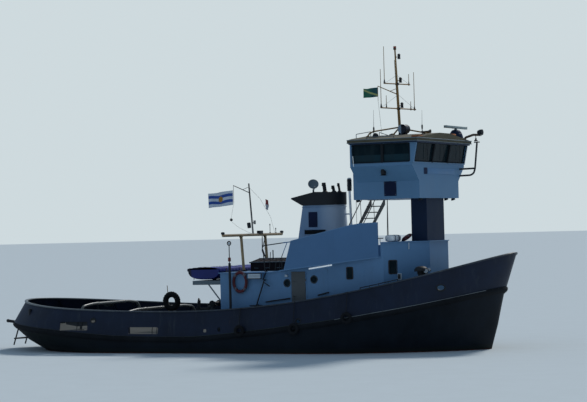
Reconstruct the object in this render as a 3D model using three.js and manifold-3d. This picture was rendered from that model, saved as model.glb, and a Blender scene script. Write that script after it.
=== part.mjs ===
// Harbour tugboat, about 22.7 m long, with a raised wheelhouse on a column.
// Millimetres. +X is the bow, +Y is port, +Z is up.
// The origin is on the centreline, amidships, at the waterline.
import * as THREE from 'three';
import { mergeVertices } from 'three/addons/utils/BufferGeometryUtils.js';
import Module from 'manifold-3d';

const wasm = await Module();
wasm.setup();

// Driving dimensions of the hull
const RIM = { low: 1600, lowX: -1600, riseAft: 6.0e-6, riseBow: 11.7e-6 };
const BULWARK = { thick: 30 };
// Height of the bulwark along the boat: x, height
const BULWARK_HEIGHTS = [
  [-13000, 875], [-10500, 870], [-8500, 828], [-7000, 832], [-5500, 890], [-4200, 935],
  [-600, 942], [1500, 865], [3500, 832], [5500, 876], [7000, 918], [9200, 1015], [13000, 1190],
];
const DECK_PLATE = 12;
const SEAT = 0.3;
const FACE = 0.5;
const KEEL_Z = -2600;

// Each row is one outline of the boat, from the rim down to the keel.
// z is given as a height, or follows the deck (factor x deck height - drop).
const OUTLINE_COLUMNS = ['name', 'factor', 'drop', 'z', 'half', 'aft', 'bow',
  'aftTaper', 'aftPower', 'bowTaper', 'bowPower'];
const OUTLINES = [
  ['deck', 1, 0, 0, 3440, -10600, 10950, 4130, 1.9, 5600, 1.75],
  ['strakeFoot', 1, 230, 0, 3430, -10520, 10850, 4130, 1.9, 5700, 1.72],
  ['topside', 0.4, 0, 0, 3400, -9970, 10600, 4300, 1.85, 5900, 1.6],
  ['water', 0, 0, 0, 3330, -9200, 10350, 4300, 1.75, 6100, 1.5],
  ['counter', 0, 0, -350, 3230, -8150, 10150, 4300, 1.6, 6300, 1.4],
  ['run', 0, 0, -430, 3190, -6300, 10100, 5400, 1.2, 6400, 1.38],
  ['bilgeTop', 0, 0, -1050, 2930, -6230, 9850, 5600, 1.1, 6600, 1.3],
  ['bilge', 0, 0, -1600, 2380, -6160, 9500, 6000, 1.0, 6700, 1.2],
  ['floor', 0, 0, -2080, 1480, -6100, 8950, 6400, 1.0, 6700, 1.1],
  ['garboard', 0, 0, -2380, 480, -6050, 8400, 6400, 1.0, 6500, 1.0],
  ['keel', 0, 0, KEEL_Z, 150, -6000, 8050, 6000, 1.2, 6200, 1.2],
].map((row) => Object.fromEntries(row.map((value, i) => [OUTLINE_COLUMNS[i], value])));
const RIM_LINE = { half: 3300, aft: -10100, bow: 11400, aftTaper: 4210, aftPower: 1.84, bowTaper: 5900, bowPower: 1.7 };
const STATIONS = { aft: 8, middle: 5, bow: 8 };

// Finishes
const FINISHES = {
  hull: { color: 0x0c1018, roughness: 0.6, metalness: 0.1 },
  bulwark: { color: 0x18233a, roughness: 0.55, metalness: 0.1 },
  deck: { color: 0x3a4a48, roughness: 0.85, metalness: 0.0 },
  white: { color: 0xc9d3dc, roughness: 0.45, metalness: 0.05 },
  navy: { color: 0x1a2a4c, roughness: 0.45, metalness: 0.1 },
  black: { color: 0x14161a, roughness: 0.6, metalness: 0.1 },
  ochre: { color: 0xb98a2c, roughness: 0.5, metalness: 0.1 },
  roof: { color: 0x8a7a45, roughness: 0.6, metalness: 0.0 },
  rubber: { color: 0x101113, roughness: 0.9, metalness: 0.0 },
  steel: { color: 0x6a6f72, roughness: 0.5, metalness: 0.8 },
  bronze: { color: 0xa8803c, roughness: 0.4, metalness: 0.9 },
  grey: { color: 0x8b949b, roughness: 0.6, metalness: 0.1 },
  red: { color: 0xb53a22, roughness: 0.6, metalness: 0.0 },
  cover: { color: 0x1d3aa8, roughness: 0.85, metalness: 0.0 },
  flagBlue: { color: 0x2c55b0, roughness: 0.9, metalness: 0.0 },
  flagGreen: { color: 0x2a6b4a, roughness: 0.9, metalness: 0.0 },
  glass: { color: 0x2e4a55, roughness: 0.1, metalness: 0.0 },
};
const materials = Object.fromEntries(
  Object.entries(FINISHES).map(([name, look]) => [name, new THREE.MeshStandardMaterial(look)]));

const tug = new THREE.Group();

// Solids and meshes
function solid(geometry) {
  const bare = geometry.index ? geometry.toNonIndexed() : geometry.clone();
  for (const name of Object.keys(bare.attributes)) if (name !== 'position') bare.deleteAttribute(name);
  const merged = mergeVertices(bare, 1e-3);
  const made = new wasm.Manifold(new wasm.Mesh({
    numProp: 3,
    vertProperties: new Float32Array(merged.attributes.position.array),
    triVerts: new Uint32Array(merged.index.array),
  }));
  return made;
}

function geometryOf(manifold) {
  const mesh = manifold.getMesh();
  const geometry = new THREE.BufferGeometry();
  geometry.setAttribute('position', new THREE.BufferAttribute(new Float32Array(mesh.vertProperties), 3));
  geometry.setIndex(new THREE.BufferAttribute(new Uint32Array(mesh.triVerts), 1));
  return geometry;
}

function addNode(name, shape, finish) {
  const mesh = new THREE.Mesh(geometryOf(shape), materials[finish]);
  mesh.name = name;
  tug.add(mesh);
}

function unite(...shapes) {
  return shapes.flat().reduce((sum, next) => sum.add(next));
}

function box(x0, x1, y0, y1, z0, z1) {
  const geometry = new THREE.BoxGeometry(x1 - x0, y1 - y0, z1 - z0);
  geometry.translate((x0 + x1) / 2, (y0 + y1) / 2, (z0 + z1) / 2);
  return solid(geometry);
}

// A straight round bar between two points; a second radius makes it taper
function bar(from, to, radius, radiusTo = radius, sides = 10) {
  const start = new THREE.Vector3(...from);
  const end = new THREE.Vector3(...to);
  const along = end.clone().sub(start);
  const geometry = new THREE.CylinderGeometry(radiusTo, radius, along.length(), sides);
  geometry.applyQuaternion(new THREE.Quaternion().setFromUnitVectors(
    new THREE.Vector3(0, 1, 0), along.clone().normalize()));
  geometry.translate(...start.add(end).multiplyScalar(0.5).toArray());
  return solid(geometry);
}

function ball(centre, radius, sides = 10) {
  const geometry = new THREE.SphereGeometry(radius, sides, Math.max(4, sides / 2));
  geometry.translate(...centre);
  return solid(geometry);
}

// Round bars through a row of points, with a ball at every bend
function bentBar(points, radius, sides = 8) {
  const pieces = [];
  for (let i = 0; i + 1 < points.length; i++) {
    pieces.push(bar(points[i], points[i + 1], radius, radius, sides));
    if (i > 0) pieces.push(ball(points[i], radius * 1.02, sides));
  }
  return unite(pieces);
}

// A flat outline given in X and Z, stretched from y0 to y1
function sideProfile(points, y0, y1) {
  const shape = new THREE.Shape(points.map(([x, z]) => new THREE.Vector2(x, z)));
  const geometry = new THREE.ExtrudeGeometry(shape, { depth: y1 - y0, bevelEnabled: false });
  geometry.rotateX(Math.PI / 2);
  geometry.translate(0, y1, 0);
  return solid(geometry);
}

// A flat outline given in Y and Z, stretched from x0 to x1
function frontProfile(points, x0, x1) {
  const shape = new THREE.Shape(points.map(([y, z]) => new THREE.Vector2(y, z)));
  const geometry = new THREE.ExtrudeGeometry(shape, { depth: x1 - x0, bevelEnabled: false });
  geometry.applyMatrix4(new THREE.Matrix4().set(0, 0, 1, x0, 1, 0, 0, 0, 0, 1, 0, 0, 0, 0, 0, 1));
  return solid(geometry);
}

// A flat outline given in X and Y, stretched from z0 to z1
function planProfile(points, z0, z1) {
  const shape = new THREE.Shape(points.map(([x, y]) => new THREE.Vector2(x, y)));
  const geometry = new THREE.ExtrudeGeometry(shape, { depth: z1 - z0, bevelEnabled: false });
  geometry.translate(0, 0, z0);
  return solid(geometry);
}

function turned(profile, segments, place) {
  const geometry = new THREE.LatheGeometry(profile.map(([r, h]) => new THREE.Vector2(r, h)), segments);
  geometry.rotateX(Math.PI / 2);
  if (place.turn) geometry.applyQuaternion(place.turn);
  geometry.translate(...place.at);
  return solid(geometry);
}

function torus(centre, ringRadius, tubeRadius, ringSides = 20, tubeSides = 8, turn = null) {
  const geometry = new THREE.TorusGeometry(ringRadius, tubeRadius, tubeSides, ringSides);
  if (turn) geometry.applyQuaternion(turn);
  geometry.translate(...centre);
  return solid(geometry);
}

const turnAbout = (axis, degrees) => new THREE.Quaternion().setFromAxisAngle(
  new THREE.Vector3(...axis), THREE.MathUtils.degToRad(degrees));

// Joins a row of like outlines, each a list of 3-D points, into one closed skin
function loft(sections, closedRow = false) {
  const count = sections[0].length;
  const positions = sections.flat().flat();
  const index = [];
  const rows = sections.length;
  const last = closedRow ? rows : rows - 1;
  for (let i = 0; i < last; i++) {
    const a = i * count;
    const b = ((i + 1) % rows) * count;
    for (let j = 0; j < count; j++) {
      const k = (j + 1) % count;
      index.push(a + j, b + j, b + k, a + j, b + k, a + k);
    }
  }
  if (!closedRow) {
    const end = (rows - 1) * count;
    for (let j = 1; j + 1 < count; j++) {
      index.push(0, j, j + 1);
      index.push(end, end + j + 1, end + j);
    }
  }
  const geometry = new THREE.BufferGeometry();
  geometry.setAttribute('position', new THREE.Float32BufferAttribute(positions, 3));
  geometry.setIndex(index);
  const made = solid(geometry);
  if (made.volume() > 0) return made;
  geometry.setIndex(index.reverse());
  return solid(geometry);
}

// Hull form
const rimZ = (x) => RIM.low + (x < RIM.lowX ? RIM.riseAft : RIM.riseBow) * (x - RIM.lowX) ** 2;
function bulwarkHeight(x) {
  const i = BULWARK_HEIGHTS.findIndex(([at]) => at > x);
  const [[x0, h0], [x1, h1]] = BULWARK_HEIGHTS.slice(i - 1, i + 1);
  return h0 + (h1 - h0) * (x - x0) / (x1 - x0);
}
const deckZ = (x) => rimZ(x) - bulwarkHeight(x);

// One side of a plan outline from the stern tip to the stem, y counted outwards
function halfOutline(line) {
  const { half, aft, bow, aftTaper, aftPower, bowTaper, bowPower } = line;
  const points = [];
  for (let i = 0; i <= STATIONS.aft; i++) {
    const angle = (i / STATIONS.aft) * Math.PI / 2;
    points.push([
      aft + aftTaper * (1 - Math.cos(angle) ** (2 / aftPower)),
      half * Math.sin(angle) ** (2 / aftPower)]);
  }
  const from = aft + aftTaper;
  const to = bow - bowTaper;
  for (let i = 1; i < STATIONS.middle; i++) points.push([from + (to - from) * i / STATIONS.middle, half]);
  for (let i = STATIONS.bow; i >= 0; i--) {
    const angle = (i / STATIONS.bow) * Math.PI / 2;
    points.push([
      bow - bowTaper * (1 - Math.cos(angle) ** (2 / bowPower)),
      half * Math.sin(angle) ** (2 / bowPower)]);
  }
  points[0][1] = 0;
  points[points.length - 1][1] = 0;
  return points;
}

// The whole outline: starboard from stern to stem, then port back to the stern
function ring(line, height, outward = 0) {
  const side = halfOutline(line);
  const flat = [...side.map(([x, y]) => [x, -y]), ...side.slice(1, -1).reverse()];
  return flat.map(([x, y], i) => {
    const before = flat[(i + flat.length - 1) % flat.length];
    const after = flat[(i + 1) % flat.length];
    const tangent = new THREE.Vector2(after[0] - before[0], after[1] - before[1]).normalize();
    return [x + tangent.y * outward, y - tangent.x * outward, height(x)];
  });
}

const outlineHeight = (line) => (x) => line.factor * deckZ(x) - line.drop * Math.sign(line.factor) + line.z;

// A closed skin over rings that lie above each other, capped by strips across the boat
function ringBody(rings) {
  const count = rings[0].length;
  const half = count / 2;
  const index = [];
  for (let i = 0; i + 1 < rings.length; i++) {
    for (let j = 0; j < count; j++) {
      const k = (j + 1) % count;
      const a = i * count;
      const b = a + count;
      index.push(a + j, b + j, b + k, a + j, b + k, a + k);
    }
  }
  const cap = (base, flip) => {
    for (let j = 0; j < half; j++) {
      const port0 = (count - j) % count;
      const port1 = count - j - 1;
      const quad = [base + j, base + j + 1, base + port1, base + port0];
      const faces = [[quad[0], quad[1], quad[2]], [quad[0], quad[2], quad[3]]];
      for (const face of faces) if (new Set(face).size === 3) index.push(...(flip ? face.reverse() : face));
    }
  };
  cap(0, false);
  cap((rings.length - 1) * count, true);
  const geometry = new THREE.BufferGeometry();
  geometry.setAttribute('position', new THREE.Float32BufferAttribute(rings.flat().flat(), 3));
  geometry.setIndex(index);
  const made = solid(geometry);
  if (made.volume() > 0) return made;
  geometry.setIndex(index.reverse());
  return solid(geometry);
}

const [deckLine, strakeFootLine] = OUTLINES;

// The air above the deck, used to seat what stands on it
const deckStations = halfOutline(deckLine).map(([x]) => x);
function aboveDeck(gap = SEAT) {
  const top = 20000;
  const side = 6000;
  const foot = deckStations.map((x) => [x, deckZ(x) + gap]);
  const ends = [[deckStations.at(-1) + 2000, foot.at(-1)[1]], [deckStations.at(-1) + 2000, top],
    [deckStations[0] - 2000, top], [deckStations[0] - 2000, foot[0][1]]];
  return sideProfile([...foot, ...ends], -side, side);
}
const overDeck = aboveDeck();
const onDeck = (shape) => shape.intersect(overDeck);

// Running gear sizes, from the type
const SCREW = { x: -6590, z: -1450, radius: 930, hub: 180, blades: 4 };
const BOSS = { radius: 230, aft: -6350 };
const RUDDER = { stockX: -7330, nose: -7000, tail: -8350, thick: 190, top: -520, foot: -2440, stock: 90, running: 1 };
const SOLE = { aft: -7600, half: 110, top: -2480 };

// Guard frame below the stern fender
function sternGuard() {
  const half = 420;
  const parts = [-half, half].flatMap((y) => [bar([-10640, y, 905], [-10920, y, 130], 30),
    bar([-10300, y, 900], [-10660, y, 900], 38),
    bar([-10870, y, 400], [-9700, y, 460], 30)]);
  return unite(parts, bar([-10850, -half, 400], [-10850, half, 400], 30));
}

function buildHull() {
  const rings = OUTLINES.map((line) => ring(line, outlineHeight(line)));
  rings[0] = ring(deckLine, (x) => deckZ(x) - DECK_PLATE - SEAT);
  const boss = bar([-5600, 0, SCREW.z], [BOSS.aft, 0, SCREW.z], BOSS.radius + 40, BOSS.radius, 16);
  const shaftHole = bar([-5800, 0, SCREW.z], [BOSS.aft - 10, 0, SCREW.z], 80.8, 80.8, 32);
  const sole = box(SOLE.aft, -5600, -SOLE.half, SOLE.half, KEEL_Z, SOLE.top);
  const stockHole = bar([RUDDER.stockX, 0, -1000], [RUDDER.stockX, 0, -140],
    RUDDER.stock + RUDDER.running, RUDDER.stock + RUDDER.running, 24);
  return unite(ringBody(rings), boss, sole, sternGuard()).subtract(shaftHole).subtract(stockHole);
}
const hull = buildHull();
addNode('hull', hull, 'hull');
addNode('main_deck', ringBody([ring(deckLine, deckZ), ring(deckLine, (x) => deckZ(x) - DECK_PLATE)]), 'deck');

// Rubber strake round the deck edge, deepest at the stern
const STRAKE = { depth: 80, sternDepth: 95 };
function buildStrake() {
  const count = ring(deckLine, deckZ).length;
  const depthAt = (j) => {
    const station = Math.min(j, count - j);
    const nearStern = Math.max(0, 1 - station / STATIONS.aft);
    return STRAKE.depth + (STRAKE.sternDepth - STRAKE.depth) * nearStern;
  };
  const zTop = (x) => deckZ(x) - 14;
  const zFoot = outlineHeight(strakeFootLine);
  const rows = [[deckLine, zTop, () => FACE], [strakeFootLine, zFoot, () => FACE],
    [strakeFootLine, (x) => zFoot(x) + 50, depthAt], [deckLine, (x) => zTop(x) - 60, depthAt]];
  const sections = [];
  for (let j = 0; j < count; j++) sections.push(rows.map(([line, height, out]) => ring(line, height, out(j))[j]));
  const horns = [-420, 420].map((y) => bar([-11240, y, 1150], [-10640, y, 1075], 62, 62, 8));
  return unite(loft(sections, true), horns);
}
addNode('fender_strake', buildStrake(), 'rubber');

// Bulwark, leaning inwards aft and flaring out at the bow
const FREEING_PORTS = [
  { x0: -6650, x1: -5360, sill: 60, height: 330 },
  { x0: -3460, x1: -2130, sill: 90, height: 260 },
  { x0: -120, x1: 20, sill: 110, height: 130 },
  { x0: 510, x1: 640, sill: 95, height: 160 },
];
const FAIRLEADS = [
  { x: -5110, rise: 505, half: 115, high: 95 },
  { x: 3970, rise: 115, half: 105, high: 95 },
  { x: 9280, rise: 430, half: 160, high: 115 },
];
// Flat cap rail along its top
const CAP_RAIL = { outside: 45, inside: 75, thick: 40 };
function buildBulwark() {
  const foot = (x) => deckZ(x) - 40;
  const low = (x) => rimZ(x) - 15;
  const high = (x) => rimZ(x) + CAP_RAIL.thick;
  const { outside, inside } = CAP_RAIL;
  const wall = [ring(deckLine, foot), ring(RIM_LINE, rimZ), ring(RIM_LINE, rimZ, -BULWARK.thick),
    ring(deckLine, foot, -BULWARK.thick)];
  const rail = [ring(RIM_LINE, low, outside), ring(RIM_LINE, high, outside), ring(RIM_LINE, high, -inside),
    ring(RIM_LINE, low, -inside)];
  const around = (rows) => loft(rows[0].map((_, j) => rows.map((row) => row[j])), true);
  return onDeck(unite(around(wall), around(rail)));
}
function cutBulwark(shape) {
  let cut = shape;
  for (const side of [-1, 1]) {
    const y0 = side < 0 ? -4200 : 1500;
    const y1 = side < 0 ? -1500 : 4200;
    for (const port of FREEING_PORTS) {
      const foot = deckZ((port.x0 + port.x1) / 2) + port.sill;
      cut = cut.subtract(box(port.x0, port.x1, y0, y1, foot, foot + port.height));
    }
    for (const lead of FAIRLEADS) {
      const z = deckZ(lead.x) + lead.rise;
      const oval = solid(new THREE.CylinderGeometry(1, 1, 2700, 12).scale(lead.half, 1, lead.high)
        .translate(lead.x, (y0 + y1) / 2, z));
      cut = cut.subtract(oval);
    }
  }
  return cut;
}
// Where the bulwark is cut into its four named pieces
const BULWARK_PIECES = [
  { name: 'bulwark_stern', x0: -13000, x1: -6900, y0: -5000, y1: 5000 },
  { name: 'bulwark_starboard', x0: -6900, x1: 4600, y0: -5000, y1: 0 },
  { name: 'bulwark_port', x0: -6900, x1: 4600, y0: 0, y1: 5000 },
  { name: 'bulwark_bow', x0: 4600, x1: 13000, y0: -5000, y1: 5000 },
];
const bulwark = cutBulwark(buildBulwark());
for (const { name, x0, x1, y0, y1 } of BULWARK_PIECES) {
  addNode(name, bulwark.intersect(box(x0 + SEAT, x1, y0, y1, 0, 9000)), 'bulwark');
}

// Screw, shaft and rudder
function buildScrew() {
  const { x, z, radius, hub, blades } = SCREW;
  const parts = [bar([x - 225, 0, z], [x + 225, 0, z], hub * 0.85, hub, 20),
    bar([x - 310, 0, z], [x - 215, 0, z], hub * 0.35, hub * 0.83, 20)];
  const pitchTurn = 28;
  for (let i = 0; i < blades; i++) {
    const outline = new THREE.Shape();
    outline.moveTo(-70, hub * 0.6);
    outline.quadraticCurveTo(-360, radius * 0.62, -90, radius * 0.97);
    outline.quadraticCurveTo(0, radius, 90, radius * 0.95);
    outline.quadraticCurveTo(330, radius * 0.62, 70, hub * 0.6);
    const blade = new THREE.ExtrudeGeometry(outline, { depth: 34, bevelEnabled: false, curveSegments: 6 });
    blade.translate(0, 0, -17);
    blade.rotateY(THREE.MathUtils.degToRad(90 - pitchTurn));
    blade.rotateX(i * 2 * Math.PI / blades + Math.PI / 4);
    blade.translate(x, 0, z);
    parts.push(solid(blade));
  }
  return unite(parts, bar([-5860, 0, z], [x - 100, 0, z], 80, 80, 32));
}
addNode('propeller', buildScrew(), 'bronze');

function buildRudder() {
  const { stockX, nose, tail, thick, top, foot, stock } = RUDDER;
  const chord = nose - tail;
  const outline = [];
  const steps = 8;
  for (let i = 0; i <= steps; i++) {
    const t = i / steps;
    outline.push([nose - chord * t * t, thick / 2 * Math.sqrt(Math.sin(Math.PI * Math.min(1, t * 0.94 + 0.01)))]);
  }
  const other = outline.slice(1, -1).reverse().map(([x, y]) => [x, -y]);
  const blade = planProfile([...outline, ...other], foot, top);
  return unite(blade, bar([stockX, 0, top - 200], [stockX, 0, -140 - SEAT], stock, stock, 24),
    bar([stockX, 0, SOLE.top + SEAT], [stockX, 0, foot + 100], 60, 60, 16));
}
addNode('rudder', buildRudder(), 'hull');

// Deckhouse: steel walls standing on the deck, with a raised fore part
const HOUSE = { aft: 110, front: 8340, frontHalf: 920, chamferX: 7050, half: 2350, wall: 60, step: 6950, foreTop: 4095,
  roof: 30, foot: 300 };
const BOAT_DECK = { low: 3080, bend: 2300, slope: 0.11, thick: 40, wide: 2750, narrow: 2380, aft: 60 };
const boatDeckZ = (x) => BOAT_DECK.low + BOAT_DECK.slope * Math.max(0, x - BOAT_DECK.bend);
const underBoatDeck = (x) => boatDeckZ(x) - BOAT_DECK.thick - SEAT;
const DOOR = { x0: 3200, x1: 3800, sill: 1270, top: 3075, thick: 45, gap: 5 };
const PORTHOLES = [{ x: 3015, z: 2640 }, { x: 4160, z: 2765 }];
const PORTHOLE_RADIUS = 120;
const HOUSE_WINDOWS = [{ x0: 5550, x1: 5770, z0: 2780, z1: 3190 }];
const CHAMFER_WINDOW = { x: 7306, y: 2067, width: 300, z0: 2950, z1: 3415 };
const HINGE = { radius: 16, stand: 30, length: 100, gap: 0.4 };

// One upright hinge: the middle barrel belongs to the door and the outer two to the wall.
// leaf gives the corners of the strap that joins a barrel to its own side.
function hingeBarrels(x, y, z, doorLeaf, wallLeaf) {
  const { radius, length, gap } = HINGE;
  const part = (z0, z1, leaf) => unite(bar([x, y, z0], [x, y, z1], radius, radius, 12),
    box(leaf[0], leaf[1], leaf[2], leaf[3], z0, z1));
  return {
    door: part(z - length / 2, z + length / 2, doorLeaf),
    wall: unite(part(z - length * 1.2, z - length / 2 - gap, wallLeaf),
      part(z + length / 2 + gap, z + length * 1.2, wallLeaf)),
  };
}

const HOUSE_DOOR_HINGES = [1500, 2750];
function houseDoorHinges(side) {
  const y = side * (HOUSE.half + HINGE.stand);
  const x = DOOR.x1 + 20;
  const near = side * (HOUSE.half + 10);
  const far = side * (HOUSE.half + HINGE.stand + 8);
  const wallIn = side * (HOUSE.half - 20);
  const order = (a, b) => [Math.min(a, b), Math.max(a, b)];
  const pairs = HOUSE_DOOR_HINGES.map((z) => hingeBarrels(x, y, z,
    [x - 60, x, ...order(near, far)], [x - 8, x + 8, ...order(wallIn, y)]));
  return { door: pairs.map((pair) => pair.door), wall: pairs.map((pair) => pair.wall), x, y };
}

// Plan of the deckhouse, drawn inset and cut off at a given station
function housePlan(inset, from = HOUSE.aft) {
  const { front, frontHalf, chamferX, half } = HOUSE;
  const run = Math.hypot(front - chamferX, half - frontHalf);
  const slope = (front - chamferX) / (half - frontHalf);
  const shiftX = inset * run / (half - frontHalf);
  const corner = [chamferX - shiftX + inset * slope, half - inset];
  const nose = [front - inset, half - (front - inset - (chamferX - shiftX)) / slope];
  const side = [[from + inset, half - inset], corner, nose];
  return [...side.map(([x, y]) => [x, -y]), ...side.reverse()];
}
function buildDeckhouse() {
  const { aft, front, half, wall, step, foreTop, foot, roof } = HOUSE;
  const profile = [[aft, foot], [front + 100, foot], [front + 100, foreTop], [step, foreTop],
    [step, underBoatDeck(step)], [BOAT_DECK.bend, underBoatDeck(BOAT_DECK.bend)], [aft, underBoatDeck(aft)]];
  const room = planProfile(housePlan(wall), foot - 10, 9000);
  let house = sideProfile(profile, -half, half).intersect(planProfile(housePlan(0), foot, 9000))
    .subtract(room.intersect(box(aft, step - 20, -half, half, 0, 9000)))
    .subtract(room.intersect(box(step + wall, front, -half, half, 0, 9000)))
    .subtract(room.intersect(box(step - 30, step + wall + 10, -half, half, 0, underBoatDeck(step) - 60)));
  for (const side of [-1, 1]) {
    const y = side * half;
    house = house.subtract(box(DOOR.x0, DOOR.x1, y - 100, y + 100, DOOR.sill, DOOR.top));
    for (const { x, z } of PORTHOLES) {
      house = house.subtract(solid(new THREE.CylinderGeometry(PORTHOLE_RADIUS, PORTHOLE_RADIUS, 200, 14)
        .translate(x, y, z)));
    }
    for (const { x0, x1, z0, z1 } of HOUSE_WINDOWS) {
      house = house.subtract(box(x0, x1, y - 100, y + 100, z0, z1));
    }
    const { x, y: windowY, width, z0, z1 } = CHAMFER_WINDOW;
    const facing = THREE.MathUtils.radToDeg(Math.atan2(half - HOUSE.frontHalf, front - HOUSE.chamferX));
    house = house.subtract(solid(new THREE.BoxGeometry(width, 300, z1 - z0)
      .applyQuaternion(turnAbout([0, 0, 1], -side * facing)).translate(x, side * windowY, (z0 + z1) / 2)));
    house = unite(house, houseDoorHinges(side).wall);
  }
  const foreRoof = planProfile(housePlan(-40), foreTop - 5, foreTop + roof)
    .intersect(box(step, front + 200, -half - 100, half + 100, 0, 9000));
  const locker = box(1400, 2050, -half - 240, -half + 5, 2830, 3030);
  return onDeck(unite(house, foreRoof, locker));
}
addNode('deckhouse', buildDeckhouse(), 'white');

function buildHouseDoor(side) {
  const { x0, x1, sill, top, thick, gap } = DOOR;
  const hinges = houseDoorHinges(side);
  const outer = side * (HOUSE.half + 16);
  const inner = outer - side * thick;
  const leaf = box(x0 + gap, x1 - gap, Math.min(outer, inner), Math.max(outer, inner), sill + gap, top - gap);
  const handle = bar([x0 + 90, side * (HOUSE.half - 10), 2150], [x0 + 90, side * (HOUSE.half + 70), 2150], 12);
  const lever = bar([x0 + 90, side * (HOUSE.half + 62), 2150], [x0 + 90, side * (HOUSE.half + 62), 2010], 12);
  return unite(leaf, handle, lever, hinges.door);
}
addNode('deckhouse_door_starboard', buildHouseDoor(-1), 'grey');
addNode('deckhouse_door_port', buildHouseDoor(1), 'grey');

// Boat deck: the plate that roofs the deckhouse, wider than it amidships
const BOAT_DECK_EDGE = [[60, 2400], [2850, 2400], [2900, 2750], [4300, 2750], [6700, 2400], [6949.7, 2400]];
function buildBoatDeck() {
  const { bend, thick } = BOAT_DECK;
  const first = BOAT_DECK_EDGE[0][0];
  const last = BOAT_DECK_EDGE.at(-1)[0];
  const top = [[first, boatDeckZ(first)], [bend, boatDeckZ(bend)], [last, boatDeckZ(last)]];
  const bottom = top.map(([x, z]) => [x, z - thick]).reverse();
  const slab = sideProfile([...top, ...bottom], -4000, 4000);
  const outline = [...BOAT_DECK_EDGE.map(([x, y]) => [x, -y]), ...BOAT_DECK_EDGE.map(([x, y]) => [x, y]).reverse()];
  return slab.intersect(planProfile(outline, 0, 9000));
}
addNode('boat_deck', buildBoatDeck(), 'deck');

// Plated screen along each side of the boat deck
const SCREEN = {
  thick: 30,
  footX: 3097,
  top: [[3417, 4238], [5820, 4777], [6200, 4827], [6880, 4848]],
  portTop: [[3330, 3880], [6880, 4075]],
  portDrop: 355,
};
function screenRail(side) {
  const y = side * (SCREEN.thick / -2 + 2750);
  const inner = side * 2350;
  const drop = side > 0 ? SCREEN.portDrop : 0;
  return unite(bentBar([[3430, y, 4215 - drop], [3180, y, 4195 - drop], [2080, inner, 4092 - drop],
    [1990, inner, 4040 - drop], [1975, inner, 3900 - drop], [2030, inner, 3760 - drop],
    [2080, inner, BOAT_DECK.low + SEAT]], 20),
  bar([3250, y, 4200 - drop], [2990, side * 2700, 3660 - drop], 16, 16, 6),
  bar([2990, side * 2700, 3665 - drop], [2990, side * 2700, boatDeckZ(2990) + SEAT], 16, 16, 6));
}
function buildScreen(side) {
  const lowAft = boatDeckZ(SCREEN.footX) + SEAT;
  const top = side > 0 ? SCREEN.portTop : SCREEN.top;
  const profile = [[SCREEN.footX, lowAft], [6880, boatDeckZ(6880) + SEAT], ...top.toReversed()];
  const edge = BOAT_DECK_EDGE.slice(2);
  const outline = [...edge, ...edge.map(([x, y]) => [x, y - SCREEN.thick]).reverse()].map(([x, y]) => [x, side * y]);
  const above = sideProfile([[0, BOAT_DECK.low + SEAT], [BOAT_DECK.bend, BOAT_DECK.low + SEAT],
    [7000, boatDeckZ(7000) + SEAT], [7000, 9000], [0, 9000]], -3000, 3000);
  const plate = sideProfile(profile, -3000, 3000).intersect(planProfile(outline, 0, 9000));
  return unite(plate, screenRail(side)).intersect(above);
}
addNode('side_screen_starboard', buildScreen(-1), 'white');
addNode('side_screen_port', buildScreen(1), 'white');

// Column that carries the wheelhouse, standing on the roof of the fore part
const COLUMN = { aft: 7590, front: 8230, half: 850, wall: 40, top: 5730 };
addNode('column', box(COLUMN.aft, COLUMN.front, -COLUMN.half, COLUMN.half, HOUSE.foreTop + HOUSE.roof + SEAT,
  COLUMN.top - SEAT)
  .subtract(box(COLUMN.aft + COLUMN.wall, COLUMN.front - COLUMN.wall, -COLUMN.half + COLUMN.wall,
    COLUMN.half - COLUMN.wall, 0, 9000)), 'navy');

// Funnel casing with a rounded front, its dark cap and what stands on it
const FUNNEL = {
  low: { z: 3200, aft: 2450, centre: 3960, radius: 620 },
  high: { z: 5600, aft: 2880, centre: 3860, radius: 560 },
};
const NOSE_STEPS = 10;
function funnelOutline({ aft, centre, radius }, grow = 0) {
  const points = [[aft - grow, -(radius + grow)]];
  for (let i = 0; i <= NOSE_STEPS; i++) {
    const angle = -Math.PI / 2 + Math.PI * i / NOSE_STEPS;
    points.push([centre + (radius + grow) * Math.cos(angle), (radius + grow) * Math.sin(angle)]);
  }
  points.push([aft - grow, radius + grow]);
  return points;
}
function buildFunnel() {
  const { low, high } = FUNNEL;
  const body = loft([funnelOutline(low).map(([x, y]) => [x, y, low.z - 200]),
    funnelOutline(high).map(([x, y]) => [x, y, high.z])]);
  const overBoatDeck = sideProfile([[0, BOAT_DECK.low + SEAT], [BOAT_DECK.bend, BOAT_DECK.low + SEAT],
    [6900, boatDeckZ(6900) + SEAT], [6900, 9000], [0, 9000]], -3000, 3000);
  const slot = (side) => box(2950, 3850, side < 0 ? -700 : 560, side < 0 ? -560 : 700, 4480, 4640);
  return unite(body.subtract(slot(-1)).subtract(slot(1)), funnelPipe()).intersect(overBoatDeck);
}
// Vent pipe up the front of the funnel on two brackets, with a lamp on top
const FUNNEL_PIPE = { foot: [4730, 0, 3200], top: [4650, 0, 6160], radius: 45 };
function funnelPipe() {
  const { foot, top, radius } = FUNNEL_PIPE;
  const brackets = [3900, 5200].map((z) => box(4300, 4690, -25, 25, z, z + 50));
  return unite(bar(foot, top, radius, radius, 10), bar([top[0], 0, top[2] - 20], [top[0], 0, 6620], 75, 75, 12),
    brackets);
}
addNode('funnel', buildFunnel(), 'white');

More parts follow.
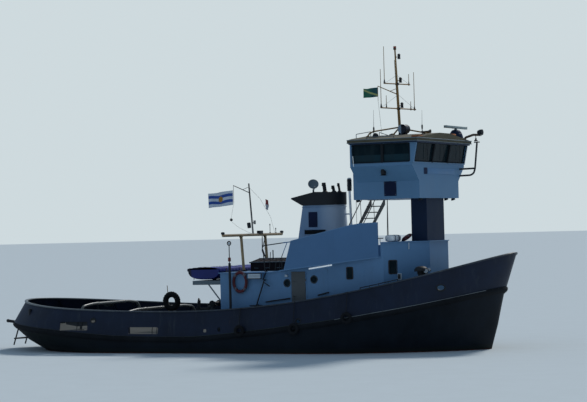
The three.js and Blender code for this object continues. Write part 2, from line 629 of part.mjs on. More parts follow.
const CAP_SIDE = [[2860, 5600 + SEAT], [4470, 5600 + SEAT], [4470, 6090], [3400, 6120], [2400, 5910], [2380, 5870]];
function buildFunnelCap() {
  const wide = { aft: 2300, centre: 3870, radius: 590 };
  const shape = sideProfile(CAP_SIDE, -700, 700).intersect(planProfile(funnelOutline(wide), 5000, 7000));
  const pipes = [[3700, 6450, 75], [4000, 6330, 60], [4150, 6420, 45]];
  return unite(shape, pipes.map(([x, top, r], i) => bar([x, (i - 1) * 190, 6000], [x - 60, (i - 1) * 190, top], r, r, 12)));
}
addNode('funnel_cap', buildFunnelCap(), 'black');

const DISH = { at: [3160, -150, 6400], radius: 210, depth: 70 };
function buildDish() {
  const turn = turnAbout([0, 0, 1], -60).multiply(turnAbout([0, 1, 0], 62));
  const bowl = turned([[0, 0], [120, 18], [DISH.radius, DISH.depth], [DISH.radius, DISH.depth + 14], [110, 32],
    [0, 14]], 16, { at: DISH.at, turn });
  const stem = bar([3160, -150, 6000], [3160, -150, 6402], 25, 25, 8);
  return unite(bowl, stem).subtract(sideProfile(CAP_SIDE, -700, 700).translate([0, 0, SEAT]));
}
addNode('satellite_dish', buildDish(), 'grey');

// Stairs from the boat deck up to the wheelhouse, running across the boat
const STAIR = { x0: 5100, x1: 5700, footY: -1850, topY: 1000, topZ: 5740, thick: 22, depth: 180, treads: 9,
  landing: 4960, rail: 700 };
function buildStairs() {
  const { x0, x1, footY, topY, topZ, thick, depth, treads, landing, rail: rail0 } = STAIR;
  const footZ = boatDeckZ((x0 + x1) / 2);
  const rise = topZ - footZ;
  const stringer = (x) => frontProfile([[footY, footZ + 40], [footY - 100, footZ + 40],
    [topY - 100, topZ], [topY + 20, topZ], [topY + 20, topZ - depth]].map(([y, z]) => [y, z]), x, x + thick);
  const parts = [stringer(x0), stringer(x1 - thick)];
  for (let i = 1; i <= treads; i++) {
    const t = i / (treads + 1);
    const y = footY + (topY - footY) * t - 40;
    const z = footZ + rise * t;
    parts.push(box(x0 + 5, x1 - 5, y - 110, y + 90, z - 30, z));
  }
  parts.push(box(x0, x1, footY - 120, footY + 60, footZ + 20, footZ + 60));
  const platform = box(landing, 5720 - SEAT, topY, topY + 910, topZ, topZ + 50);
  const railY = topY + 860;
  const railZ = topZ + 980;
  const post = bar([5420, railY, boatDeckZ(5420) + 3], [5420, railY, topZ + 20], 16);
  const aftPost = bar([landing + 25, railY, topZ + 20], [landing + 25, railY, railZ], 20);
  const rail = bentBar([[x0 + 11, footY - 60, footZ + 40], [x0 + 11, footY - 100, footZ + rail0],
    [x0 + 11, topY - 60, topZ + rail0], [landing + 25, topY + 40, railZ], [landing + 25, railY, railZ]], 20);
  const guard = bentBar([[landing + 25, railY, railZ], [5690, railY, railZ], [5690, railY, topZ + 20]], 20);
  const over = sideProfile([[4000, boatDeckZ(4000) + SEAT], [6900, boatDeckZ(6900) + SEAT], [6900, 9000], [4000, 9000]],
    -3000, 3000);
  return unite(parts, platform, post, aftPost, rail, guard).intersect(over);
}
addNode('wheelhouse_stairs', buildStairs(), 'grey');

// Wheelhouse: floor, lower walls with side wings, window band, glass and cambered roof
const WHEELHOUSE = {
  aft: 5720, front: 8420, half: 1950, wingAft: 5900, wingHalf: 2580, wall: 50,
  floorLow: 5730, floorHigh: 5790, flareLow: 6380, flareHigh: 6950, sill: 7050, head: 7840, lean: 160,
};
const AFT_DOOR = { y0: 960, y1: 1600, sill: 5830, top: 7700, thick: 40, gap: 5, hingeZ: [6150, 7350] };

function aftDoorHinges() {
  const x = WHEELHOUSE.aft - HINGE.stand;
  const y = AFT_DOOR.y1 + 20;
  const pairs = AFT_DOOR.hingeZ.map((z) => hingeBarrels(x, y, z, [x - 8, x + 20, y - 60, y], [x, x + 60, y - 8, y + 8]));
  return { door: pairs.map((pair) => pair.door), wall: pairs.map((pair) => pair.wall), x, y };
}

// The outside of the wheelhouse less an inset on every side
function wheelhouseBody(inset, z0, z1) {
  const { aft, front, half, wingAft, wingHalf, flareLow, flareHigh, sill, head, lean } = WHEELHOUSE;
  const grow = (head - sill) === 0 ? 0 : lean;
  const frontEdge = [[front - inset, 5000], [front - inset, sill], [front + 40 - inset, sill],
    [front + 40 + grow - inset, head], [front + 40 + grow - inset, head + 400]];
  const middle = sideProfile([[aft + inset, 5000], ...frontEdge, [aft + inset, head + 400]], -half + inset, half - inset);
  const wingSection = [[-(half - inset), flareLow + inset * 0.8], [half - inset, flareLow + inset * 0.8],
    [wingHalf - inset, flareHigh + inset * 0.3], [wingHalf - inset, head + 400],
    [-(wingHalf - inset), head + 400], [-(wingHalf - inset), flareHigh + inset * 0.3]];
  const wings = frontProfile(wingSection, wingAft + inset, front + 400)
    .intersect(sideProfile([[wingAft + inset, 5000], ...frontEdge, [wingAft + inset, head + 400]], -3000, 3000));
  return unite(middle, wings).intersect(box(0, 12000, -4000, 4000, z0, z1));
}
function buildWheelhouseWalls() {
  const { wall, floorLow, floorHigh, sill, aft } = WHEELHOUSE;
  const shell = wheelhouseBody(0, floorLow, sill).subtract(wheelhouseBody(wall, floorHigh, 9000));
  const doorway = box(aft - 100, aft + 100, AFT_DOOR.y0, AFT_DOOR.y1, AFT_DOOR.sill, AFT_DOOR.top);
  return unite(shell.subtract(doorway), aftDoorHinges().wall[0]);
}
addNode('wheelhouse_walls', buildWheelhouseWalls(), 'white');

const SIDE_PANES = [{ x0: 5990, x1: 7180 }, { x0: 7250, x1: 8330 }];
const FRONT_PANES = [{ y0: -2460, y1: -800 }, { y0: -730, y1: 730 }, { y0: 800, y1: 2460 }];
const AFT_PANES = [{ y0: -1830, y1: -640 }, { y0: -570, y1: 860 }];
const PANE = { low: 7090, high: 7770 };
function buildWindowBand() {
  const { wall, sill, head, aft } = WHEELHOUSE;
  let band = wheelhouseBody(0, sill + SEAT, head).subtract(wheelhouseBody(wall, 5000, 9000));
  for (const { x0, x1 } of SIDE_PANES) {
    for (const side of [-1, 1]) {
      band = band.subtract(box(x0, x1, Math.min(side * 2300, side * 2900), Math.max(side * 2300, side * 2900),
        PANE.low, PANE.high));
    }
  }
  for (const { y0, y1 } of FRONT_PANES) band = band.subtract(box(8390, 8900, y0, y1, PANE.low, PANE.high));
  for (const { y0, y1 } of AFT_PANES) band = band.subtract(box(aft - 100, aft + 100, y0, y1, PANE.low - 300, PANE.high));
  band = band.subtract(box(aft - 100, aft + 100, AFT_DOOR.y0, AFT_DOOR.y1, 7000, AFT_DOOR.top));
  return unite(band, aftDoorHinges().wall[1]);
}
addNode('wheelhouse_window_band', buildWindowBand(), 'white');

// Glass stands just inside the band
function buildGlass() {
  const { wall, head } = WHEELHOUSE;
  const low = PANE.low - 30;
  const ringGlass = wheelhouseBody(wall + SEAT, low, head - 10).subtract(wheelhouseBody(wall + SEAT + 10, 5000, 9000));
  return ringGlass.subtract(box(5000, 5830, AFT_DOOR.y0 - 20, AFT_DOOR.y1 + 20, 5000, 9000));
}
addNode('wheelhouse_glass', buildGlass(), 'glass');

function buildAftDoor() {
  const { y0, y1, sill, top, thick, gap } = AFT_DOOR;
  const hinges = aftDoorHinges();
  const outer = WHEELHOUSE.aft - 16;
  const leaf = box(outer, outer + thick, y0 + gap, y1 - gap, sill + gap, top - gap)
    .subtract(box(outer - 50, outer + 100, y0 + 130, y1 - 130, 7000, 7560));
  const handle = bar([outer - 60, y0 + 80, 6800], [outer + 10, y0 + 80, 6800], 12);
  const lever = bar([outer - 52, y0 + 80, 6800], [outer - 52, y0 + 200, 6800], 12);
  return unite(leaf, handle, lever, hinges.door);
}
addNode('wheelhouse_door', buildAftDoor(), 'white');

const ROOF = { aft: 5860, middleAft: 5690, front: 8700, half: 2730, low: 7840, edge: 7955, crown: 8190, flat: 500 };
const ROOF_PLAN = [[ROOF.aft, -ROOF.half], [ROOF.front, -ROOF.half], [ROOF.front, ROOF.half], [ROOF.aft, ROOF.half],
  [ROOF.middleAft, 2000], [ROOF.middleAft, -2000]];
addNode('wheelhouse_roof', frontProfile([[-ROOF.half, ROOF.low + SEAT], [ROOF.half, ROOF.low + SEAT],
  [ROOF.half, ROOF.edge], [ROOF.flat, ROOF.crown], [-ROOF.flat, ROOF.crown], [-ROOF.half, ROOF.edge]],
5500, 9000).intersect(planProfile(ROOF_PLAN, 7000, 9000)), 'roof');

addNode('helm_console', sideProfile([[7750, 5790 + SEAT], [8340, 5790 + SEAT], [8340, 6900], [8150, 6960],
  [7750, 6740]], -1100, 1100), 'black');

// Pipe guard in front of the wheelhouse, at its port corner
const GUARD = { y: 2100, radius: 22 };
addNode('front_guard', unite(bentBar([[8400, GUARD.y, 6600], [8880, GUARD.y, 6610], [9010, GUARD.y, 6680],
  [9070, GUARD.y, 6850], [9180, GUARD.y, 7880]], GUARD.radius),
bar([8400, GUARD.y, 6860], [9075, GUARD.y, 6870], GUARD.radius, GUARD.radius, 8),
bar([9060, GUARD.y, 7880], [9290, GUARD.y, 7880], GUARD.radius, GUARD.radius, 8))
  .subtract(box(0, WHEELHOUSE.front + SEAT, -4000, 4000, 0, 9000)), 'grey');

// Main mast on the wheelhouse roof: leaning pole, two yards, legs and gaff
const MAST = { foot: [6860, 0, 8190], top: [6730, 0, 11500], radius: 45 };
const GAFF_END = 5968;
// Yards: height, half length, rise of each arm
const YARDS = [[9215, 1680, 35], [10165, 1240, 40]];
const mastX = (z) => MAST.foot[0] + (MAST.top[0] - MAST.foot[0]) * (z - MAST.foot[2]) / (MAST.top[2] - MAST.foot[2]);
const roofTopZ = (y) => Math.min(ROOF.crown, ROOF.crown + (Math.abs(y) - ROOF.flat)
  * (ROOF.edge - ROOF.crown) / (ROOF.half - ROOF.flat));
function buildMast() {
  const parts = [bar([MAST.foot[0], 0, 8190 + SEAT], MAST.top, 55, 30, 12),
    bar([mastX(11500), 0, 11480], [mastX(11600), 0, 11620], 55, 55, 10)];
  for (const [z, half, tilt] of YARDS) {
    const x = mastX(z);
    parts.push(bar([x, -half, z - tilt], [x, half, z + tilt], 24, 24, 8));
  }
  const whips = [[9190, -1640, 1450], [9190, -1150, 480], [9225, 1560, 1480], [9215, 1200, 330],
    [10130, -1200, 1400], [10180, 1150, 430]];
  for (const [z, y, tall] of whips) parts.push(bar([mastX(z), y, z], [mastX(z), y, z + tall], 14, 10, 6));
  for (const z of [9320, 10290, 11200]) {
    parts.push(bar([mastX(z), 0, z], [mastX(z) + 150, 0, z], 16, 16, 6));
    parts.push(bar([mastX(z) + 150, 0, z - 60], [mastX(z) + 150, 0, z + 90], 50, 50, 10));
  }
  parts.push(bar([mastX(9760), 0, 9760], [GAFF_END, 0, 10130], 20, 16, 8));
  parts.push(bar([GAFF_END, 0, 10130], [GAFF_END, 0, 9560], 8, 8, 12));
  parts.push(bar([mastX(10000), 0, 10000], [mastX(9760) - 300, 0, 9910], 12, 12, 6));
  for (const side of [-1, 1]) {
    parts.push(bentBar([[mastX(8500), 0, 8500], [6190, side * 1000, 8330], [6070, side * 1100, 8260],
      [6000, side * 1150, roofTopZ(1150) + 20]], 30, 8));
    parts.push(bar([6000, side * 1150, roofTopZ(1150) - 20], [6000, side * 1150, roofTopZ(1150) + 40], 60, 60, 8));
  }
  parts.push(bar([mastX(8480), 0, 8460], [8010, 0, ROOF.crown + 20], 28, 28, 8));
  parts.push(bar([8010, 0, ROOF.crown - 10], [8010, 0, ROOF.crown + 60], 60, 60, 8));
  const roof = frontProfile([[-ROOF.half, 0], [ROOF.half, 0], [ROOF.half, ROOF.edge + SEAT],
    [ROOF.flat, ROOF.crown + SEAT], [-ROOF.flat, ROOF.crown + SEAT], [-ROOF.half, ROOF.edge + SEAT]], 5000, 9500);
  return unite(parts).subtract(roof);
}
addNode('main_mast', buildMast(), 'ochre');

// Dark drum beside the mast's foot
addNode('mast_drum', unite(bar([7165, -330, 8190 + SEAT], [7165, -330, 8300], 110, 110, 12),
  bar([7165, -540, 8400], [7165, -110, 8400], 180, 180, 16)), 'navy');

// Radar: pedestal and turning scanner
const RADAR = { x: 8370, y: 1950, foot: 8000, neck: 8390, half: 1080 };
const aboveRoof = frontProfile([[-4000, ROOF.edge - (4000 - ROOF.half) * 0.1054 + SEAT], [-ROOF.flat, ROOF.crown + SEAT],
  [ROOF.flat, ROOF.crown + SEAT], [4000, ROOF.edge - (4000 - ROOF.half) * 0.1054 + SEAT], [4000, 9500], [-4000, 9500]],
5000, 9500);
addNode('radar_pedestal', unite(bar([RADAR.x, RADAR.y, 7980], [RADAR.x, RADAR.y, 8230], 310, 250, 16),
  bar([RADAR.x, RADAR.y, 8220], [RADAR.x, RADAR.y, RADAR.neck - SEAT], 240, 130, 16)).intersect(aboveRoof), 'navy');
addNode('radar_scanner', unite(bar([RADAR.x, RADAR.y, RADAR.neck], [RADAR.x, RADAR.y, RADAR.neck + 60], 60, 60, 12),
  sideProfile([[-70, 50], [70, 50], [70, 130], [-70, 160]].map(([x, z]) => [RADAR.x + x, RADAR.neck + z]),
    RADAR.y - RADAR.half, RADAR.y + RADAR.half)), 'white');

// Searchlight on an arm at the roof's front edge
const LAMP = { x: 9280, y: 2200, z: 8262, flood: 7985 };
addNode('searchlight', unite(bar([8640, LAMP.y, 7900], [8640, LAMP.y, 8080], 60, 60, 10).intersect(aboveRoof),
  bar([8600, LAMP.y, 8060], [LAMP.x, LAMP.y, 8235], 30, 30, 8),
  bar([9100, LAMP.y, 8190], [9100, LAMP.y, LAMP.flood], 16, 16, 8),
  bar([9010, LAMP.y, LAMP.flood], [9200, LAMP.y, LAMP.flood], 60, 75, 10),
  bar([LAMP.x - 110, LAMP.y, LAMP.z], [LAMP.x + 110, LAMP.y, LAMP.z], 80, 112, 14)), 'black');

// Aft goalpost mast on the boat deck
const GOALPOST = { x: 370, postY: 1030, half: 2520, beamZ: 4510, radius: 55 };
function buildGoalpost() {
  const { x, postY, half, beamZ, radius } = GOALPOST;
  const parts = [bar([x, -half, beamZ], [x, half, beamZ], radius, radius, 10),
    bar([x, 0, beamZ], [x - 140, 0, 6560], 36, 28, 10), bar([x - 125, 0, 6190], [x - 840, 0, 6500], 18, 14, 8),
    bar([x - 838, 0, 6500], [x - 838, 0, 5790], 8, 8, 12),
    bar([x - 145, 0, 6420], [x - 420, 0, 6320], 10, 10, 6)];
  for (const side of [-1, 1]) {
    parts.push(bar([x + 90, side * postY, BOAT_DECK.low + SEAT], [x, side * postY, beamZ], radius, radius, 10));
    parts.push(bar([x, side * half, beamZ - 10], [x, side * half, beamZ + 120], 50, 50, 8));
  }
  parts.push(bar([x - 40, 0, 4990], [x + 80, 0, 4990], 20, 20, 6), bar([x + 80, 0, 4930], [x + 80, 0, 5080], 50, 50, 8));
  return unite(parts).subtract(box(0, 1000, -2000, 2000, 0, BOAT_DECK.low + SEAT));
}
addNode('goalpost_mast', buildGoalpost(), 'ochre');

// Slim davit post on the starboard side deck
const DAVIT = { x: 695, y: -2640 };
addNode('davit_post', unite(onDeck(bar([DAVIT.x, DAVIT.y, 300], [DAVIT.x, DAVIT.y, 3450], 50, 50, 10)),
  bar([DAVIT.x, DAVIT.y, 3440], [DAVIT.x, DAVIT.y, 4130], 18, 18, 8),
  torus([DAVIT.x, DAVIT.y, 4210], 75, 22, 14, 6, turnAbout([1, 0, 0], 90)),
  onDeck(bar([DAVIT.x, DAVIT.y, 300], [DAVIT.x, DAVIT.y, deckZ(DAVIT.x) + 40], 120, 120, 12))), 'black');

// Platform on brackets behind the deckhouse, and the dinghy that lies across it
const PLATFORM = { aft: -1150, front: 110 - SEAT, half: 2300, low: 2610, high: 2770 };
function buildPlatform() {
  const { aft, front, half, low, high } = PLATFORM;
  const parts = [box(aft, front, -half, half, low, high)];
  for (const side of [-1, 1]) {
    const y = side * (half - 60);
    parts.push(bar([-480, y, low + 20], [front - 35, y, 1950], 28, 28, 8));
    parts.push(box(front - 40, front, y - 60, y + 60, 1880, 2020));
    for (const x of [-1000, -250]) parts.push(box(x, x + 120, side * 900 - 60, side * 900 + 60, high - 5, 2810));
  }
  return unite(parts).subtract(box(110 - SEAT, 500, -4000, 4000, 0, 6000));
}
addNode('dinghy_platform', buildPlatform(), 'grey');
// Rows: y across the boat, half width, keel height, gunwale height
const DINGHY = { x: -655 };
const DINGHY_SECTIONS = [[-2300, 690, 2850, 3230], [-2120, 700, 2811, 3230], [-1200, 700, 2810.3, 3215],
  [900, 700, 2810.3, 3215], [1350, 520, 2870, 3235], [1560, 170, 3010, 3255]];
function dinghySection([y, half, keel, gunwale], extra = 0) {
  const { x } = DINGHY;
  return [[x - half, y, gunwale], [x - half * 0.8, y, gunwale - (gunwale - keel) * 0.5], [x - half * 0.4, y, keel],
    [x + half * 0.4, y, keel], [x + half * 0.8, y, gunwale - (gunwale - keel) * 0.5], [x + half, y, gunwale]]
    .map(([px, py, pz]) => [px, py, pz + extra]);
}
addNode('dinghy', loft(DINGHY_SECTIONS.map((row) => dinghySection(row))), 'grey');
addNode('dinghy_cover', loft(DINGHY_SECTIONS.map(([y, half, , gunwale]) => [[DINGHY.x - half, y, gunwale + SEAT],
  [DINGHY.x + half, y, gunwale + SEAT], [DINGHY.x + half * 0.9, y, gunwale + 45], [DINGHY.x, y, gunwale + 70],
  [DINGHY.x - half * 0.9, y, gunwale + 65]])), 'cover');

// Skylight behind the funnel
addNode('skylight', unite(box(640, 2170, -800, 800, BOAT_DECK.low + SEAT, 3400),
  frontProfile([[-840, 3390], [840, 3390], [840, 3430], [0, 3560], [-840, 3430]], 600, 2210)), 'black');

// Raft, lifebuoys, locker and anchor
const FORE_TOP = HOUSE.foreTop + HOUSE.roof;
addNode('raft', box(6970, 7310, -1960, -1250, FORE_TOP + SEAT, FORE_TOP + 230), 'white');
addNode('lifebuoy_roof', torus([7530, -1200, FORE_TOP + 145.2], 170, 48, 20, 8, turnAbout([0, 1, 0], -35)), 'red');
// The one on the side wall is oval, and hangs on two brackets clear of the deck edge
const SIDE_BUOY = { x: 1038, y: -2461, z: 2706, radius: 366, tube: 58, narrow: 0.74 };
addNode('lifebuoy_side', unite(torus([0, 0, 0], SIDE_BUOY.radius, SIDE_BUOY.tube, 20, 8, turnAbout([1, 0, 0], 90))
  .scale([SIDE_BUOY.narrow, 1, 1]).translate([SIDE_BUOY.x, SIDE_BUOY.y, SIDE_BUOY.z]),
[2340, 3005].map((z) => box(998, 1078, SIDE_BUOY.y, -HOUSE.half - SEAT, z, z + 30))), 'red');
function buildAnchor() {
  const y = -2500;
  const wallY = -(HOUSE.half + SEAT);
  return unite(bar([2120, y, 2800], [1730, y, 1750], 26, 26, 8), bar([1450, y, 1790], [2010, y, 1790], 24, 24, 8),
    bar([2080, y, 2690], [2330, y, 2530], 20, 20, 8), bar([2110, y, 2770], [2110, wallY, 2770], 20, 20, 8),
    bar([1760, y, 1840], [1760, wallY, 1840], 20, 20, 8));
}
addNode('stowed_anchor', buildAnchor(), 'black');

// Towing gear on the aft deck
const TOW = { pinX: -1650, z: 1560 };
addNode('towing_post', onDeck(unite(box(TOW.pinX + 80, -1050, -260, 260, 300, 1450),
  box(-1050, 110 - SEAT, -120, 120, 300, 1150), box(TOW.pinX - 90, TOW.pinX + 90, -120, 120, 1640, 1700),
  box(TOW.pinX + 70, TOW.pinX + 150, -120, 120, 1400, 1700),
  box(TOW.pinX - 90, TOW.pinX + 90, -120, 120, 1420, 1470),
  bar([TOW.pinX, 0, 1460], [TOW.pinX, 0, 1650], 40, 40, 24))), 'grey');
addNode('towing_hook', unite(bar([TOW.pinX, 0, 1470 + SEAT], [TOW.pinX, 0, 1640 - SEAT], 62, 62, 16),
  box(TOW.pinX - 520, TOW.pinX - 40, -45, 45, 1500, 1610),
  box(TOW.pinX - 640, TOW.pinX - 500, -60, 60, 1480, 1630),
  sideProfile([[TOW.pinX - 640, 1600], [TOW.pinX - 500, 1600], [TOW.pinX - 470, 1900], [TOW.pinX - 540, 2010]], -45, 45))
  .subtract(bar([TOW.pinX, 0, 1300], [TOW.pinX, 0, 1700], 40.8, 40.8, 24)), 'black');

// Bows over the deck that keep the tow line up: name, x, height, half width
const TOW_BOWS = [['tow_bow_aft', -6350, 1870, 2300], ['tow_bow_forward', -3950, 1650, 2800]];
for (const [name, x, top, side] of TOW_BOWS) {
  const path = [[x, -side, 300], [x, -side, top - 300], [x, -side + 200, top - 70], [x, -side + 900, top],
    [x, side - 900, top], [x, side - 200, top - 70], [x, side, top - 300], [x, side, 300]];
  addNode(name, onDeck(bentBar(path, 55)), 'bulwark');
}

// Aft hatch with a hinged lid
const HATCH = { aft: -9300, front: -8300, half: 480, wall: 20, high: 1390, lid: 40 };
const LID_HINGE = { x: HATCH.front + 30, z: HATCH.high + 22 };
const LID_HINGES = [-300, 300];
function buildHatch() {
  const { aft, front, half, wall, high } = HATCH;
  const coaming = box(aft, front, -half, half, 300, high)
    .subtract(box(aft + wall, front - wall, -half + wall, half - wall, 200, 2000));
  const lugs = LID_HINGES.flatMap((y) => [[-80, -35.4], [35.4, 80]].map(([y0, y1]) => unite(
    bar([LID_HINGE.x, y + y0, LID_HINGE.z], [LID_HINGE.x, y + y1, LID_HINGE.z], 14, 14, 10),
    box(front - 10, LID_HINGE.x + 6, y + y0, y + y1, high - 60, high - 10),
    box(LID_HINGE.x - 6, LID_HINGE.x + 6, y + y0, y + y1, high - 30, LID_HINGE.z))));
  return onDeck(unite(coaming, lugs));
}
addNode('aft_hatch', buildHatch(), 'bulwark');
function buildHatchLid() {
  const { aft, front, half, high, lid } = HATCH;
  const { x, z } = LID_HINGE;
  const barrels = LID_HINGES.map((y) => unite(bar([x, y - 35, z], [x, y + 35, z], 14, 14, 10),
    box(front, x, y - 35, y + 35, z - 8, z + 8)));
  return unite(box(aft - 10, front + 10, -half - 10, half + 10, high + SEAT, high + lid), barrels);
}
addNode('aft_hatch_lid', buildHatchLid(), 'bulwark');

// Mooring bitts: two posts on one base, aft on each side
function buildBitts(x, y) {
  const dx = 230;
  const dy = 0;
  const posts = [-1, 1].map((end) => unite(
    bar([x + end * dx, y + end * dy, 300], [x + end * dx, y + end * dy, deckZ(x) + 560], 105, 105, 14),
    bar([x + end * dx, y + end * dy, deckZ(x) + 540], [x + end * dx, y + end * dy, deckZ(x) + 580], 130, 130, 14)));
  return onDeck(unite(posts, box(x - dx - 160, x + dx + 160, y - dy - 160, y + dy + 160, 300, deckZ(x) + 40)));
}
addNode('bitts_starboard', buildBitts(-5000, -2620), 'bulwark');
addNode('bitts_port', buildBitts(-5000, 2620), 'bulwark');
addNode('windlass', onDeck(unite(box(9000, 9500, -500, 500, 300, deckZ(9250) + 120),
  box(9100, 9400, -160, 160, 300, deckZ(9250) + 760), bar([9250, -620, deckZ(9250) + 520], [9250, 620,
    deckZ(9250) + 520], 110, 110, 14), bar([9250, -640, deckZ(9250) + 520], [9250, -560, deckZ(9250) + 520], 180,
    180, 14), bar([9250, 560, deckZ(9250) + 520], [9250, 640, deckZ(9250) + 520], 180, 180, 14))), 'bulwark');

// Mushroom vent beside the fore part of the deckhouse
addNode('foredeck_vent', onDeck(unite(bar([8400, -1950, 300], [8400, -1950, 3060], 130, 130, 14),
  bar([8400, -1950, 3010], [8400, -1950, 3120], 260, 240, 16), bar([8400, -1950, 3110], [8400, -1950, 3200], 240, 90, 16))),
'bulwark');

// Spare tyre standing on a gob post aft
addNode('gob_post', onDeck(unite(bar([-3450, 0, 300], [-3450, 0, 1470], 100, 100, 14),
  bar([-3450, 0, 1440], [-3450, 0, 1490], 170, 170, 14), box(-3700, -3200, -250, 250, 300, deckZ(-3450) + 30))), 'bulwark');
addNode('deck_tyre', torus([-3450, 0, 1490 + SEAT + 400], 275, 125, 20, 10, turnAbout([1, 0, 0], 90)), 'rubber');

// Flags: thin cloth solids on their halyards, with the small signal balls left to the finish
function buildFlag([x, y, z], length, height, drop) {
  const steps = 6;
  const rows = [];
  for (let i = 0; i <= steps; i++) {
    const t = i / steps;
    const wave = Math.sin(t * Math.PI * 1.6) * 40;
    const px = x - length * t;
    const top = z - drop * t;
    rows.push([[px, y + wave - 3, top], [px, y + wave + 3, top], [px, y + wave + 3, top - height],
      [px, y + wave - 3, top - height]]);
  }
  return loft(rows);
}
addNode('flag_aft', buildFlag([GOALPOST.x - 838 - 8 - SEAT, 0, 6310], 1030, 540, 150), 'flagBlue');
addNode('flag_main', buildFlag([GAFF_END - 8 - SEAT, 0, 10080], 600, 370, 20), 'flagGreen');

export default tug;
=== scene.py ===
# Harbour tugboat, afloat: everything is in metres, +X is the bow, +Y is port, +Z is up,
# and the water lies at z = 0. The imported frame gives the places, and this script the finish.
from math import atan2, copysign, cos, pi, radians, sin, sqrt

import bmesh
import bpy
from mathutils import Matrix, Vector


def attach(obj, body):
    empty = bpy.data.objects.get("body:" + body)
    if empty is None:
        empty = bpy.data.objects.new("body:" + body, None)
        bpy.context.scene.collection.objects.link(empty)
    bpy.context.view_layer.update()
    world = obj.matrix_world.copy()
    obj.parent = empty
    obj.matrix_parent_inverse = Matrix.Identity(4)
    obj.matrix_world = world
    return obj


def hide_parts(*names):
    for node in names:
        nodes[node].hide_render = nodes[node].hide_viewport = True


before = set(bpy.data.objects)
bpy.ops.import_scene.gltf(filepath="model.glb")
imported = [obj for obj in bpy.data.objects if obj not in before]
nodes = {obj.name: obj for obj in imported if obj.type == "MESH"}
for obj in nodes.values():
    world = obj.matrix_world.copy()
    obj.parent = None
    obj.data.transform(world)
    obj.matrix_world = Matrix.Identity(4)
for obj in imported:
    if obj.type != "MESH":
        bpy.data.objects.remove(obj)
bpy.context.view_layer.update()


# Camera: a long lens at standing height on a bank, far off the starboard bow, tilted a little
# to one side. It comes first, and it takes the picture to be 587 pixels wide and 402 high.
YAW, PITCH, ROLL = radians(26.52), radians(0.8), radians(1.5)
ahead = Vector((-sin(YAW) * cos(PITCH), cos(YAW) * cos(PITCH), sin(PITCH)))
level = Vector((cos(YAW), sin(YAW), 0))
upward = level.cross(ahead)
camera_right = level * cos(ROLL) - upward * sin(ROLL)
camera_up = level * sin(ROLL) + upward * cos(ROLL)
camera_data = bpy.data.cameras.new("camera")
camera_data.lens = 2000 * 36 / 587
camera_data.clip_end = 3000
camera = bpy.data.objects.new("camera", camera_data)
camera.matrix_world = Matrix((
    (camera_right.x, camera_up.x, -ahead.x, 37.41),
    (camera_right.y, camera_up.y, -ahead.y, -70.55),
    (camera_right.z, camera_up.z, -ahead.z, 4.7),
    (0, 0, 0, 1)))
bpy.context.scene.collection.objects.link(camera)
bpy.context.scene.camera = camera


# Hull: welded steel plate on frames, black above the water and dull red below it.
# Its plates show their welds, small dents, scuffs and thin rust below the deck edge.
UP = (0, 0, 1)


def tree_of(material):
    material.use_nodes = True
    tree = material.node_tree
    tree.nodes.clear()
    return tree


def put(tree, kind, inputs=(), **settings):
    made = tree.nodes.new(kind)
    for key, value in settings.items():
        setattr(made, key, value)
    for key, value in dict(inputs).items():
        if isinstance(value, bpy.types.NodeSocket):
            tree.links.new(value, made.inputs[key])
        else:
            made.inputs[key].default_value = value
    return made


def noise(tree, where, scale, detail=4.0, stretch=(1, 1, 1), roughness=0.6):
    spot = put(tree, "ShaderNodeMapping", {"Vector": where, "Scale": stretch})
    cloud = put(tree, "ShaderNodeTexNoise", {"Vector": spot.outputs[0], "Scale": scale, "Detail": detail,
        "Roughness": roughness})
    return cloud.outputs["Fac"]


def band(tree, value, low, high, out_low=0.0, out_high=1.0):
    made = put(tree, "ShaderNodeMapRange", {"Value": value, "From Min": low, "From Max": high,
        "To Min": out_low, "To Max": out_high})
    return made.outputs[0]


def maths(tree, operation, first, second=0.0):
    return put(tree, "ShaderNodeMath", {0: first, 1: second}, operation=operation).outputs[0]


def mixed(tree, share, first, second):
    made = put(tree, "ShaderNodeMix", data_type="RGBA")
    for socket, value in ((made.inputs[0], share), (made.inputs[6], first), (made.inputs[7], second)):
        if isinstance(value, bpy.types.NodeSocket):
            tree.links.new(value, socket)
        else:
            socket.default_value = value
    return made.outputs[2]


def rgba(colour, gain=1.0):
    return (*[channel * gain for channel in colour], 1.0)


